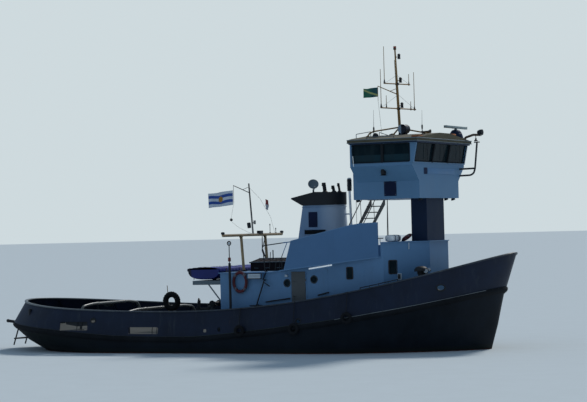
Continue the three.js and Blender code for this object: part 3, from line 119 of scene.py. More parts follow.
def steel_paint(name, colour, rough=0.5, patch=0.3, streak=0.3, rust=0.0, grime=(0.03, 0.035, 0.035),
        seam=1.2, gloss=0.3, metal=0.0, dent=0.3):
    """Ship's paint on plate: cloudy tone, vertical runs, specks of rust, welds and shallow dents."""
    material = bpy.data.materials.new(name)
    tree = tree_of(material)
    where = put(tree, "ShaderNodeTexCoord").outputs["Object"]
    cloud = noise(tree, where, 0.9, 5.0)
    tone = mixed(tree, band(tree, cloud, 0.3, 0.7), rgba(colour, 1 - patch), rgba(colour, 1 + patch))
    runs = noise(tree, where, 3.2, 6.0, (1.6, 1.6, 0.16), 0.7)
    tone = mixed(tree, band(tree, runs, 0.56, 0.78, 0.0, streak), tone, rgba(grime))
    specks = noise(tree, where, 7.0, 8.0, (1, 1, 0.35), 0.75)
    spots = noise(tree, where, 0.7, 3.0)
    rust_share = maths(tree, "MULTIPLY", band(tree, specks, 0.6, 0.72),
        band(tree, spots, 0.5, 0.62, 0.0, rust))
    tone = mixed(tree, rust_share, tone, rgba((0.11, 0.045, 0.02)))
    split = put(tree, "ShaderNodeSeparateXYZ", {0: where})
    across = maths(tree, "PINGPONG", split.outputs[0], seam)
    upright = maths(tree, "PINGPONG", split.outputs[2], seam * 0.75)
    weld = maths(tree, "MAXIMUM", band(tree, across, 0.0, 0.02, 1.0, 0.0),
        band(tree, upright, 0.0, 0.02, 1.0, 0.0))
    grain = noise(tree, where, 60.0, 2.0)
    height = maths(tree, "ADD", maths(tree, "MULTIPLY", weld, 0.3), maths(tree, "MULTIPLY", grain, 0.12))
    height = maths(tree, "ADD", height, maths(tree, "MULTIPLY", cloud, dent))
    bump = put(tree, "ShaderNodeBump", {"Strength": 0.35, "Distance": 0.012, "Height": height})
    shader = put(tree, "ShaderNodeBsdfPrincipled", {"Base Color": tone,
        "Roughness": band(tree, cloud, 0.2, 0.8, rough - 0.08, rough + 0.12),
        "Normal": bump.outputs[0], "Specular IOR Level": gloss, "Metallic": metal})
    put(tree, "ShaderNodeOutputMaterial", {"Surface": shader.outputs[0]})
    return material


def repaint(material, axis, edge, colour, soft=0.01, wander=0.06, above=False):
    """Paints the part of a material below a height, or beyond a place, in another colour."""
    tree = material.node_tree
    shader = next(node for node in tree.nodes if node.type == "BSDF_PRINCIPLED")
    old = shader.inputs["Base Color"].links[0].from_socket
    where = put(tree, "ShaderNodeTexCoord").outputs["Object"]
    split = put(tree, "ShaderNodeSeparateXYZ", {0: where})
    ragged = maths(tree, "MULTIPLY", noise(tree, where, 5.0), wander)
    place = maths(tree, "SUBTRACT", split.outputs[axis], ragged)
    ends = (0.0, 1.0) if above else (1.0, 0.0)
    share = band(tree, place, edge - soft, edge + soft, *ends)
    tree.links.new(mixed(tree, share, old, rgba(colour)), shader.inputs["Base Color"])


def as_object(name, shape, *materials):
    """Makes a bmesh into an object of the scene."""
    mesh = bpy.data.meshes.new(name)
    shape.to_mesh(mesh)
    shape.free()
    for material in materials:
        mesh.materials.append(material)
    made = bpy.data.objects.new(name, mesh)
    bpy.context.scene.collection.objects.link(made)
    return made


def add_piece(name, shape, material, body="boat", replaces=(), angle=35, cutter=None):
    """Turns a bmesh into a piece that rides on a body, with soft rounds between its sharp edges."""
    bmesh.ops.remove_doubles(shape, verts=shape.verts, dist=0.00005)
    bmesh.ops.recalc_face_normals(shape, faces=shape.faces)
    for face in shape.faces:
        face.smooth = True
    for edge in shape.edges:
        if len(edge.link_faces) == 2 and edge.calc_face_angle(0) > radians(angle):
            edge.smooth = False
    piece = as_object(name, shape, material)
    if cutter:
        carve = piece.modifiers.new("carve", "BOOLEAN")
        carve.operation = "DIFFERENCE"
        carve.solver = "EXACT"
        carve.object = cutter
        settle(piece)
        bpy.data.objects.remove(cutter)
    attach(piece, body)
    if replaces:
        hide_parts(*replaces)


def finish_node(name, material, angle=35):
    """Gives a frame piece its material, and rounds that stay sharp where its faces meet at an angle."""
    piece = nodes[name]
    piece.data.materials.clear()
    piece.data.materials.append(material)
    piece.data.polygons.foreach_set("use_smooth", [True] * len(piece.data.polygons))
    piece.data.polygons.foreach_set("material_index", [0] * len(piece.data.polygons))
    weld = piece.modifiers.new("weld", "WELD")
    weld.merge_threshold = 0.0001
    split = piece.modifiers.new("split", "EDGE_SPLIT")
    split.split_angle = radians(angle)


def settle(piece):
    """Bakes a piece's modifiers into its mesh."""
    seen = piece.evaluated_get(bpy.context.evaluated_depsgraph_get())
    mesh = bpy.data.meshes.new_from_object(seen)
    piece.modifiers.clear()
    piece.data = mesh


def rim_height(x):
    return 1.6 + (0.006 if x < -1.6 else 0.0117) * (x + 1.6) ** 2


# Place along the boat, height of the bulwark there
BULWARK_HEIGHTS = ((-13, 0.875), (-10.5, 0.87), (-8.5, 0.828), (-7, 0.832), (-5.5, 0.89), (-4.2, 0.935),
    (-0.6, 0.942), (1.5, 0.865), (3.5, 0.832), (5.5, 0.876), (7, 0.918), (9.2, 1.015), (13, 1.19))


def deck_height(x):
    for (x0, h0), (x1, h1) in zip(BULWARK_HEIGHTS, BULWARK_HEIGHTS[1:]):
        if x < x1:
            return rim_height(x) - h0 - (h1 - h0) * (x - x0) / (x1 - x0)


# Half width, stern, stem, then how long and how full the two ends are
DECK_LINE = (3.44, -10.6, 10.95, 4.13, 1.9, 5.6, 1.75)
RIM_LINE = (3.3, -10.1, 11.4, 4.21, 1.84, 5.9, 1.7)
STRAKE_FOOT = (3.43, -10.52, 10.85, 4.13, 1.9, 5.7, 1.72)


def plan_line(line, height, outward=0.0):
    """A closed line round the boat, from the stern up the starboard side and back down the port side."""
    half, aft, bow, aft_taper, aft_power, bow_taper, bow_power = line
    side = []
    for i in range(29):
        angle = i / 28 * pi / 2
        side.append((aft + aft_taper * (1 - cos(angle) ** (2 / aft_power)),
            half * sin(angle) ** (2 / aft_power)))
    start, end = aft + aft_taper, bow - bow_taper
    side += [(start + (end - start) * i / 30, half) for i in range(1, 30)]
    for i in range(36, -1, -1):
        angle = i / 36 * pi / 2
        side.append((bow - bow_taper * (1 - cos(angle) ** (2 / bow_power)),
            half * sin(angle) ** (2 / bow_power)))
    flat = [(x, -y) for x, y in side] + [(x, y) for x, y in side[-2:0:-1]]
    flat[0] = (flat[0][0], 0.0)
    points = []
    for i, (x, y) in enumerate(flat):
        back, fore = flat[i - 1], flat[(i + 1) % len(flat)]
        along = Vector((fore[0] - back[0], fore[1] - back[1])).normalized()
        points.append(Vector((x + along.y * outward, y - along.x * outward, height(x))))
    return points


def skin(shape, rings, closed=False):
    """Faces between rings of equal length that lie side by side."""
    rows = [[shape.verts.new(point) for point in ring] for ring in rings]
    count = len(rows[0])
    pairs = list(zip(rows, rows[1:])) + ([(rows[-1], rows[0])] if closed else [])
    for low, high in pairs:
        for j in range(count):
            k = (j + 1) % count
            shape.faces.new((low[j], low[k], high[k], high[j]))
    return rows


def cap_across(shape, row):
    """Closes a ring round the boat with strips from side to side."""
    count = len(row)
    for j in range(count // 2):
        corners = [row[j], row[j + 1], row[count - j - 1], row[(count - j) % count]]
        corners = list(dict.fromkeys(corners))
        if len(corners) > 2:
            shape.faces.new(corners)


# Height of each line of the hull, then its plan
HULL_LINES = (
    (lambda x: deck_height(x) - 0.0123, DECK_LINE),
    (lambda x: deck_height(x) - 0.23, STRAKE_FOOT),
    (lambda x: 0.4 * deck_height(x), (3.4, -9.97, 10.6, 4.3, 1.85, 5.9, 1.6)),
    (lambda x: 0.0, (3.33, -9.2, 10.35, 4.3, 1.75, 6.1, 1.5)),
    (lambda x: -0.35, (3.23, -8.15, 10.15, 4.3, 1.6, 6.3, 1.4)),
    (lambda x: -0.43, (3.19, -6.3, 10.1, 5.4, 1.2, 6.4, 1.38)),
    (lambda x: -1.05, (2.93, -6.23, 9.85, 5.6, 1.1, 6.6, 1.3)),
    (lambda x: -1.6, (2.38, -6.16, 9.5, 6.0, 1.0, 6.7, 1.2)),
    (lambda x: -2.08, (1.48, -6.1, 8.95, 6.4, 1.0, 6.7, 1.1)),
    (lambda x: -2.38, (0.48, -6.05, 8.4, 6.4, 1.0, 6.5, 1.0)),
    (lambda x: -2.6, (0.15, -6.0, 8.05, 6.0, 1.2, 6.2, 1.2)))
shape = bmesh.new()
hull_rows = skin(shape, [plan_line(line, height) for height, line in HULL_LINES])
cap_across(shape, hull_rows[0])
cap_across(shape, hull_rows[-1])
hull_paint = steel_paint("hull_paint", (0.0085, 0.0125, 0.0185), rough=0.6, patch=0.35, rust=0.3,
    grime=(0.02, 0.024, 0.026), seam=1.5, gloss=0.12, dent=1.6)
repaint(hull_paint, 0, -6.5, (0.006, 0.0095, 0.0095), soft=2.0, wander=0.8)
repaint(hull_paint, 2, 0.1, (0.013, 0.017, 0.015), soft=0.08, wander=0.1)
repaint(hull_paint, 2, 0.0, (0.085, 0.022, 0.015))
add_piece("hull_plating", shape, hull_paint, replaces=["hull"], angle=28)


# Stern guard and running gear: a frame of steel pipe under the stern fender keeps lines off the
# propeller, whose shaft leaves the hull through a cast boss above a flat sole piece.
def tube(shape, points, radius, sides=8, closed=False, end_radius=None):
    """A round bar through points, each ring turned to halve the angle of its bend."""
    points = [Vector(point) for point in points]
    count = len(points)
    rings = []
    normal = None
    for i, point in enumerate(points):
        before = points[i - 1] if i or closed else point
        after = points[(i + 1) % count] if i + 1 < count or closed else point
        along = ((after - point).normalized() + (point - before).normalized()).normalized()
        if normal is None:
            normal = along.orthogonal().normalized()
        normal = (normal - along * normal.dot(along)).normalized()
        side = along.cross(normal)
        size = radius if end_radius is None else radius + (end_radius - radius) * i / (count - 1)
        turn = (after - point).normalized().dot((point - before).normalized()) if 0 < i < count - 1 else 1
        stretch = 1 / max(0.6, sqrt((1 + max(-0.9, turn)) / 2))
        rings.append([point + (normal * cos(a) + side * sin(a)) * size * stretch
            for a in (k * 2 * pi / sides for k in range(sides))])
    rows = skin(shape, rings, closed)
    if not closed:
        shape.faces.new(rows[0][::-1])
        shape.faces.new(rows[-1])


def bend(points, radius, steps=5):
    """Rounds the corners of a bent pipe's path."""
    points = [Vector(point) for point in points]
    path = [points[0]]
    for before, corner, after in zip(points, points[1:], points[2:]):
        back, fore = before - corner, after - corner
        reach = min(radius, back.length * 0.45, fore.length * 0.45)
        start, end = corner + back.normalized() * reach, corner + fore.normalized() * reach
        for i in range(steps + 1):
            t = i / steps
            path.append(start * (1 - t) ** 2 + corner * 2 * t * (1 - t) + end * t * t)
    return path + [points[-1]]


def turned(shape, at, axis, profile, sides=20):
    """A lathe-turned shape: each row of the profile is a radius and a place along the axis."""
    at, axis = Vector(at), Vector(axis).normalized()
    first = axis.orthogonal().normalized()
    second = axis.cross(first)
    rings = []
    for radius, along in profile:
        centre = at + axis * along
        if radius < 1e-6:
            rings.append([shape.verts.new(centre)])
            continue
        rings.append([shape.verts.new(centre + (first * cos(a) + second * sin(a)) * radius)
            for a in (k * 2 * pi / sides for k in range(sides))])
    for low, high in zip(rings, rings[1:]):
        for k in range(sides):
            m = (k + 1) % sides
            corners = [low[k % len(low)], low[m % len(low)], high[m % len(high)], high[k % len(high)]]
            corners = list(dict.fromkeys(corners))
            if len(corners) > 2:
                shape.faces.new(corners)
    for ring in (rings[0], rings[-1]):
        if len(ring) > 2:
            shape.faces.new(ring)


def block(shape, low, high, round_edge=0.0):
    """A box between two corners, its edges eased."""
    made = bmesh.ops.create_cube(shape, size=1.0)["verts"]
    for vert in made:
        vert.co = Vector([min(a, b) + abs(b - a) * (share + 0.5)
            for a, b, share in zip(low, high, vert.co)])
    if round_edge:
        edges = {edge for vert in made for edge in vert.link_edges}
        bmesh.ops.bevel(shape, geom=list(edges), offset=round_edge, segments=2, profile=0.5, affect="EDGES")


def slab(shape, corners, thickness):
    """A flat plate: its corners in order, and the vector across it."""
    across = Vector(thickness)
    near = [shape.verts.new(Vector(corner)) for corner in corners]
    far = [shape.verts.new(Vector(corner) + across) for corner in corners]
    shape.faces.new(near[::-1])
    shape.faces.new(far)
    for i in range(len(near)):
        j = (i + 1) % len(near)
        shape.faces.new((near[i], near[j], far[j], far[i]))


black_paint = steel_paint("black_paint", (0.013, 0.016, 0.02), rough=0.55, streak=0.25, rust=0.45, dent=0.4)
shape = bmesh.new()
for y in (-0.42, 0.42):
    tube(shape, [(-10.64, y, 0.905), (-10.92, y, 0.13)], 0.03, 12)
    tube(shape, [(-10.3, y, 0.9), (-10.66, y, 0.9)], 0.038, 12)
    tube(shape, [(-10.87, y, 0.4), (-9.7, y, 0.46)], 0.03, 12)
    turned(shape, (-10.66, y, 0.9), (1, 0, 0), [(0.052, -0.03), (0.06, 0.0), (0.06, 0.06), (0.052, 0.09)],
        16)
    block(shape, (-9.99, y - 0.08, 0.34), (-9.86, y + 0.08, 0.56))
tube(shape, [(-10.85, -0.47, 0.4), (-10.85, 0.47, 0.4)], 0.03, 12)
add_piece("stern_guard", shape, black_paint)
shape = bmesh.new()
turned(shape, (-5.6, 0, -1.45), (-1, 0, 0), [(0.29, 0.0), (0.27, 0.2), (0.25, 0.5), (0.23, 0.745),
    (0.215, 0.75), (0.0808, 0.75), (0.0808, 0.2), (0, 0.2)], 32)
block(shape, (-7.6, -0.11, -2.6), (-5.4, 0.11, -2.48), 0.015)
add_piece("shaft_boss", shape, hull_paint)
bronze_metal = steel_paint("bronze_metal", (0.36, 0.2, 0.07), rough=0.34, streak=0.2,
    grime=(0.05, 0.09, 0.06), gloss=0.5, metal=0.9)


# Propeller and rudder: four twisted bronze blades cast with their hub, ahead of a plated rudder.
# Each blade is widest past half its length, and its pitch turns flatter towards the tip.
def blade_ring(radius, share, turn):
    chord = 0.16 + 0.46 * sin(pi * min(1.0, share * 0.93 + 0.05)) ** 0.8
    thick = 0.046 * (1 - share) + 0.008
    pitch = atan2(1.15, 2 * pi * radius)
    points = []
    for k in range(20):
        a = k * 2 * pi / 20
        run, rise = cos(a) * chord / 2, sin(a) * thick / 2
        fore = run * sin(pitch) + rise * cos(pitch) - 0.06 * share ** 2
        swing = (run * cos(pitch) - rise * sin(pitch)) / radius + 0.12 * share ** 2 + turn
        points.append(Vector((-6.59 + fore, radius * cos(swing), -1.45 + radius * sin(swing))))
    return points


shape = bmesh.new()
for number in range(4):
    turn = number * pi / 2 + pi / 4
    rings = [blade_ring(0.12 + 0.805 * step / 14, step / 14, turn) for step in range(15)]
    tip = [point.lerp(sum(rings[-1], Vector()) / 20, 0.75) for point in rings[-1]]
    rows = skin(shape, rings + [[p + Vector((0, cos(turn), sin(turn))) * 0.004 for p in tip]])
    shape.faces.new(rows[0])
    shape.faces.new(rows[-1])
turned(shape, (-6.59, 0, -1.45), (1, 0, 0), [(0, -0.31), (0.04, -0.305), (0.075, -0.27), (0.14, -0.215),
    (0.158, -0.16), (0.178, 0.0), (0.18, 0.2), (0.17, 0.225), (0.08, 0.225), (0.08, 0.73), (0, 0.73)], 32)
add_piece("screw", shape, bronze_metal, body="screw", replaces=["propeller"], angle=50)
finish_node("rudder", hull_paint, 30)

# Deck: steel plate with dark grey-green non-slip paint, welded all round inside the bulwark,
# darker and greasy aft where the tow line is worked, and rusty along its welds.
deck_paint = steel_paint("deck_paint", (0.045, 0.062, 0.06), rough=0.8, streak=0.15, rust=0.75, seam=1.8,
    dent=0.8)
repaint(deck_paint, 0, -2.0, (0.035, 0.04, 0.038), soft=1.5, wander=0.6)
shape = bmesh.new()
deck_rows = skin(shape, [plan_line(DECK_LINE, deck_height),
    plan_line(DECK_LINE, lambda x: deck_height(x) - 0.012)])
cap_across(shape, deck_rows[0])
cap_across(shape, deck_rows[1])
add_piece("deck_plating", shape, deck_paint, replaces=["main_deck"])

# Rubbing strake: a heavy moulded rubber section bolted round the deck edge, with a lip above and
# below, a pale grey bar along its top edge forward that is a painted highlight of the sunlit edge,
# and two steel horns that stick out at the stern.
strake_rubber = steel_paint("strake_rubber", (0.012, 0.014, 0.017), rough=0.82, patch=0.35,
    streak=0.25, rust=0.1, grime=(0.035, 0.04, 0.042), seam=2.0, gloss=0.1, dent=0.5)


def strake_line(share, depth):
    """One line along the strake, between its top at the deck edge and its foot."""
    top = plan_line(DECK_LINE, lambda x: deck_height(x) - 0.014, depth)
    foot = plan_line(STRAKE_FOOT, lambda x: deck_height(x) - 0.23, depth)
    return [a.lerp(b, share) for a, b in zip(top, foot)]


shape = bmesh.new()
skin(shape, [strake_line(share, depth) for share, depth in ((0.0, 0.0005), (0.02, 0.03), (0.1, 0.036),
    (0.2, 0.06), (0.34, 0.08), (0.5, 0.085), (0.66, 0.08), (0.8, 0.06), (0.9, 0.036), (0.98, 0.03),
    (1.0, 0.0005))], closed=True)
add_piece("strake", shape, strake_rubber, replaces=["fender_strake"], angle=50)
# Pale grey bar along the strake's top edge at the bow: a painted highlight where the sun catches that edge.
strake_edge_highlight = steel_paint("strake_edge_highlight", (0.16, 0.18, 0.19), rough=0.6, patch=0.4, streak=0.8, rust=0.8,
    grime=(0.03, 0.035, 0.04))
shape = bmesh.new()
edge_line = strake_line(0.04, 0.034)
half = len(edge_line) // 2
for line in (edge_line[:half + 1], edge_line[:half - 1:-1]):
    tube(shape, [point + Vector((0, 0, 0.004)) for point in line if 5.4 < point.x < 10.6], 0.011, 6)
add_piece("strake_edge_bar", shape, strake_edge_highlight, angle=60)
shape = bmesh.new()
for y in (-0.42, 0.42):
    turned(shape, (-10.64, y, 1.075), (-0.6, 0, 0.075), [(0.062, -0.06), (0.062, 0.5), (0.07, 0.52),
        (0.07, 0.57), (0.055, 0.6), (0, 0.605)])
add_piece("stern_horns", shape, black_paint)


# Bulwark: navy plate on stays, with rounded freeing ports, oval fairleads and a flat cap rail.
# It leans in at the stern and flares at the bow, and lines and boots have scuffed it pale.

# Aft end, fore end, sill above the deck, height
FREEING_PORTS = ((-6.65, -5.36, 0.06, 0.33), (-3.46, -2.13, 0.09, 0.26), (-0.12, 0.02, 0.11, 0.13),
    (0.51, 0.64, 0.095, 0.16))
# Place, middle above the deck, half width, half height
FAIRLEADS = ((-5.11, 0.505, 0.115, 0.095), (3.97, 0.115, 0.105, 0.095), (9.28, 0.43, 0.16, 0.115))
bulwark_paint = steel_paint("bulwark_paint", (0.009, 0.016, 0.036), streak=0.55, rust=0.55,
    grime=(0.05, 0.064, 0.075), seam=2.4, gloss=0.22, dent=2.2)


def bulwark_line(share, outward=0.0):
    foot = plan_line(DECK_LINE, lambda x: deck_height(x) - 0.01, outward)
    rim = plan_line(RIM_LINE, rim_height, outward)
    return [a.lerp(b, share) for a, b in zip(foot, rim)]


def rounded(wide, tall, inset, radius):
    """The outline of an opening about its middle, with arcs at its corners."""
    outline = []
    for sx, sz, start in ((1, -1, -90), (1, 1, 0), (-1, 1, 90), (-1, -1, 180)):
        for a in (radians(start + 22.5 * k) for k in range(5)):
            outline.append((sx * (wide / 2 - inset) + radius * cos(a),
                sz * (tall / 2 - inset) + radius * sin(a)))
    return outline


cutter_shape = bmesh.new()
for side in (-1, 1):
    for x0, x1, sill, tall in FREEING_PORTS:
        x, z = (x0 + x1) / 2, deck_height((x0 + x1) / 2) + sill + tall / 2
        r = min(0.05, tall / 3)
        slab(cutter_shape, [(x + u, side * 1.9, z + w) for u, w in rounded(x1 - x0, tall, r, r)],
            (0, side * 2.2, 0))
    for x, rise, half, tall in FAIRLEADS:
        ring = [(x + cos(k * pi / 14) * half, side * 1.5, deck_height(x) + rise + sin(k * pi / 14) * tall)
            for k in range(28)]
        slab(cutter_shape, ring, (0, side * 2.6, 0))
bmesh.ops.recalc_face_normals(cutter_shape, faces=cutter_shape.faces)
wall_shape = bmesh.new()
outside = [bulwark_line(share) for share in (0.0, 0.25, 0.5, 0.75, 1.0)]
inside = [bulwark_line(share, -0.03) for share in (1.0, 0.75, 0.5, 0.25, 0.0)]
skin(wall_shape, outside + inside, closed=True)
port_cutter = as_object("port_cutter", cutter_shape)
add_piece("bulwark_plating", wall_shape, bulwark_paint, angle=40, cutter=port_cutter,
    replaces=["bulwark_stern", "bulwark_starboard", "bulwark_port", "bulwark_bow"])


def side_point(line_share, x, side, outward=0.0):
    """The point of the bulwark at one place along the boat, and the direction outwards there."""
    line = bulwark_line(line_share, outward)
    half = len(line) // 2 + 1
    for a, b in zip(line[:half], line[1:half]):
        if a.x <= x <= b.x:
            spot = a.lerp(b, (x - a.x) / max(1e-6, b.x - a.x))
            along = (b - a).normalized()
            return (Vector((spot.x, -spot.y * side, spot.z)),
                Vector((along.y, along.x * side, 0)).normalized())
    raise ValueError(x)


rail_paint = steel_paint("rail_paint", (0.03, 0.04, 0.055), rough=0.42, patch=0.4, streak=0.7, rust=0.6,
    grime=(0.16, 0.18, 0.19), seam=3.0, gloss=0.4, dent=0.5)
repaint(rail_paint, 0, -6.5, (0.13, 0.15, 0.16), soft=2.5, wander=1.2)
shape = bmesh.new()
rail_lines = []
for outward, up in ((0.03, -0.015), (0.045, -0.003), (0.045, 0.026), (0.033, 0.04), (-0.063, 0.04),
        (-0.075, 0.028), (-0.075, -0.003), (-0.066, -0.015)):
    rail_lines.append(plan_line(RIM_LINE, lambda x: rim_height(x) + up, outward))
skin(shape, rail_lines, closed=True)
add_piece("cap_rail", shape, rail_paint, angle=70)
shape = bmesh.new()
for side in (-1, 1):
    for x, rise, half, tall in FAIRLEADS:
        share = rise / (rim_height(x) - deck_height(x))
        centre, out = side_point(share, x, side, -0.015)
        fore = out.cross(Vector(UP)).normalized()
        ring = [centre + fore * cos(k * pi / 16) * half + Vector((0, 0, sin(k * pi / 16) * tall))
            for k in range(32)]
        tube(shape, ring, 0.032, 10, closed=True)
    for x0, x1, sill, tall in FREEING_PORTS[:2]:
        for share in (0.62, 0.78) if x0 < -5 else (0.8, 0.96):
            x = x0 + (x1 - x0) * share
            z = deck_height((x0 + x1) / 2) + sill
            height = rim_height(x) - deck_height(x)
            foot, out = side_point(max(0.0, (z - 0.03 - deck_height(x)) / height), x, side, -0.015)
            head, out = side_point((z + tall + 0.03 - deck_height(x)) / height, x, side, -0.015)
            tube(shape, [foot, head], 0.014)
    shutter = []
    for x, z in ((-6.42, 1.33), (-5.3, 1.3), (-5.3, 1.09), (-5.85, 1.06), (-6.38, 1.14)):
        share = (z - deck_height(x)) / (rim_height(x) - deck_height(x))
        shutter.append(side_point(share, x, side, -0.045)[0])
    slab(shape, shutter, (0, -side * 0.012, 0))
add_piece("fairlead_lips", shape, black_paint, angle=60)


# Bulwark stays and bolts: tapered steel brackets stand about 0.9 m apart between deck and rail, and
# hexagon bolts hold the strake. Node trees set them out on points that carry a direction.
def new_tree(name, *labels):
    tree = bpy.data.node_groups.new(name, "GeometryNodeTree")
    tree.interface.new_socket("Geometry", in_out="INPUT", socket_type="NodeSocketGeometry")
    for label in labels:
        tree.interface.new_socket(label, in_out="INPUT", socket_type="NodeSocketFloat")
    tree.interface.new_socket("Material", in_out="INPUT", socket_type="NodeSocketMaterial")
    tree.interface.new_socket("Geometry", in_out="OUTPUT", socket_type="NodeSocketGeometry")
    return tree, tree.nodes.new("NodeGroupInput").outputs


def instance_and_finish(tree, source, item):
    """Instances an item on the points, Z along their 'out' and X along their 'fore', then realizes it."""
    out, fore, size = [put(tree, "GeometryNodeInputNamedAttribute", {"Name": label},
        data_type="FLOAT_VECTOR").outputs["Attribute"] for label in ("out", "fore", "size")]
    turn = put(tree, "FunctionNodeAxesToRotation", {"Primary Axis": out, "Secondary Axis": fore},
        primary_axis="Z", secondary_axis="X")
    spread = put(tree, "GeometryNodeInstanceOnPoints", {"Points": source["Geometry"], "Instance": item,
        "Rotation": turn.outputs[0], "Scale": size})
    real = put(tree, "GeometryNodeRealizeInstances", {"Geometry": spread.outputs[0]})
    coat = put(tree, "GeometryNodeSetMaterial", {"Geometry": real.outputs[0],
        "Material": source["Material"]})
    put(tree, "NodeGroupOutput", {"Geometry": coat.outputs[0]})
    return tree


def bolt_tree():
    tree, source = new_tree("bolts", "Radius", "Height")
    head = put(tree, "GeometryNodeMeshCylinder", {"Vertices": 6, "Radius": source["Radius"],
        "Depth": source["Height"]})
    lift = put(tree, "ShaderNodeCombineXYZ", {2: maths(tree, "MULTIPLY", source["Height"], 0.5)})
    raised = put(tree, "GeometryNodeTransform", {"Geometry": head.outputs[0],
        "Translation": lift.outputs[0]})
    washer = put(tree, "GeometryNodeMeshCylinder", {"Vertices": 12,
        "Radius": maths(tree, "MULTIPLY", source["Radius"], 1.5),
        "Depth": maths(tree, "MULTIPLY", source["Height"], 0.5)})
    both = tree.nodes.new("GeometryNodeJoinGeometry")
    tree.links.new(raised.outputs[0], both.inputs[0])
    tree.links.new(washer.outputs[0], both.inputs[0])
    return instance_and_finish(tree, source, both.outputs[0])


def bracket_tree():
    tree, source = new_tree("brackets", "Depth", "Thickness", "Head")
    size = put(tree, "ShaderNodeCombineXYZ", {0: source["Depth"], 1: source["Thickness"], 2: 1.0})
    plate = put(tree, "GeometryNodeMeshCube", {"Size": size.outputs[0]})
    place = put(tree, "GeometryNodeInputPosition")
    parts = put(tree, "ShaderNodeSeparateXYZ", {0: place.outputs[0]})
    up = maths(tree, "ADD", parts.outputs[2], 0.5)
    reach = maths(tree, "ADD", parts.outputs[0], maths(tree, "MULTIPLY", source["Depth"], 0.5))
    taper = maths(tree, "MULTIPLY", up, maths(tree, "SUBTRACT", 1.0, source["Head"]))
    narrow = maths(tree, "SUBTRACT", 1.0, taper)
    spot = put(tree, "ShaderNodeCombineXYZ", {0: maths(tree, "MULTIPLY", reach, narrow),
        1: parts.outputs[1], 2: up})
    shaped = put(tree, "GeometryNodeSetPosition", {"Geometry": plate.outputs[0],
        "Position": spot.outputs[0]})
    return instance_and_finish(tree, source, shaped.outputs[0])


def bar_tree():
    tree, source = new_tree("bars", "Length", "Width", "Thickness")
    size = put(tree, "ShaderNodeCombineXYZ", {0: source["Length"], 1: source["Width"],
        2: source["Thickness"]})
    bar = put(tree, "GeometryNodeMeshCube", {"Size": size.outputs[0]})
    return instance_and_finish(tree, source, bar.outputs[0])


def link_tree():
    tree, source = new_tree("links", "Length", "Width", "Wire")
    ring = put(tree, "GeometryNodeCurvePrimitiveCircle", {"Resolution": 10, "Radius": 0.5}, mode="RADIUS")
    size = put(tree, "ShaderNodeCombineXYZ", {0: source["Width"], 1: source["Length"], 2: 1.0})
    oval = put(tree, "GeometryNodeTransform", {"Geometry": ring.outputs[0], "Scale": size.outputs[0]})
    wire = put(tree, "GeometryNodeCurvePrimitiveCircle", {"Resolution": 6, "Radius": source["Wire"]},
        mode="RADIUS")
    link = put(tree, "GeometryNodeCurveToMesh", {"Curve": oval.outputs[0],
        "Profile Curve": wire.outputs[0]})
    return instance_and_finish(tree, source, link.outputs[0])


def repeat(name, tree, spots, sizes, material, body="boat"):
    """Points with their directions, a node tree and its sizes, baked into one piece."""
    mesh = bpy.data.meshes.new(name)
    mesh.from_pydata([spot[0] for spot in spots], [], [])
    for label, index, plain in (("out", 1, (0, 0, 1)), ("fore", 2, (1, 0, 0)), ("size", 3, (1, 1, 1))):
        held = mesh.attributes.new(label, "FLOAT_VECTOR", "POINT")
        for i, spot in enumerate(spots):
            held.data[i].vector = spot[index] if len(spot) > index else plain
    piece = bpy.data.objects.new(name, mesh)
    bpy.context.scene.collection.objects.link(piece)
    nodes_in = piece.modifiers.new("set_out", "NODES")
    nodes_in.node_group = tree
    sizes = dict(sizes, Material=material)
    for item in tree.interface.items_tree:
        if item.in_out == "INPUT" and item.name in sizes:
            nodes_in[item.identifier] = sizes[item.name]
    settle(piece)
    piece.data.materials.clear()
    piece.data.materials.append(material)
    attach(piece, body)


bolts, brackets, bars, links = bolt_tree(), bracket_tree(), bar_tree(), link_tree()
stay_spots = []
for side in (-1, 1):
    for number in range(23):
        x = -9.7 + number * 0.88
        blocked = any(x0 - 0.05 < x < x1 + 0.05 for x0, x1, sill, tall in FREEING_PORTS)
        x = x + 0.3 if blocked and number % 3 == 0 else x
        if any(x0 - 0.03 < x < x1 + 0.03 for x0, x1, sill, tall in FREEING_PORTS):
            continue
        foot, out = side_point(0.02, x, side, -0.03)
        head, out_high = side_point(0.98, x, side, -0.03)
        up = head - foot
        stay_spots.append((foot, up.normalized(), -out, (1, 1, up.length)))
repeat("bulwark_stays", brackets, stay_spots, {"Depth": 0.26, "Thickness": 0.012, "Head": 0.3},
    bulwark_paint)
bolt_spots = []
crown = strake_line(0.15, 0.052)
for i, point in enumerate(crown):
    if i % 2 or i in (0, len(crown) // 2):
        continue
    along = (crown[(i + 1) % len(crown)] - crown[i - 1]).normalized()
    out = Vector((along.y, -along.x, 0.25)).normalized()
    bolt_spots.append((point - out * 0.006, out, along))
repeat("strake_bolts", bolts, bolt_spots, {"Radius": 0.016, "Height": 0.014}, black_paint)

# Side fenders: small tyres, each hung from the rail on a short chain and lying flat against the
# strake, as dark as the hull behind them.
tyre_rubber = steel_paint("tyre_rubber", (0.014, 0.015, 0.017), rough=0.88, patch=0.35, streak=0.2,
    grime=(0.05, 0.05, 0.05), seam=40.0, gloss=0.15, dent=0.4)


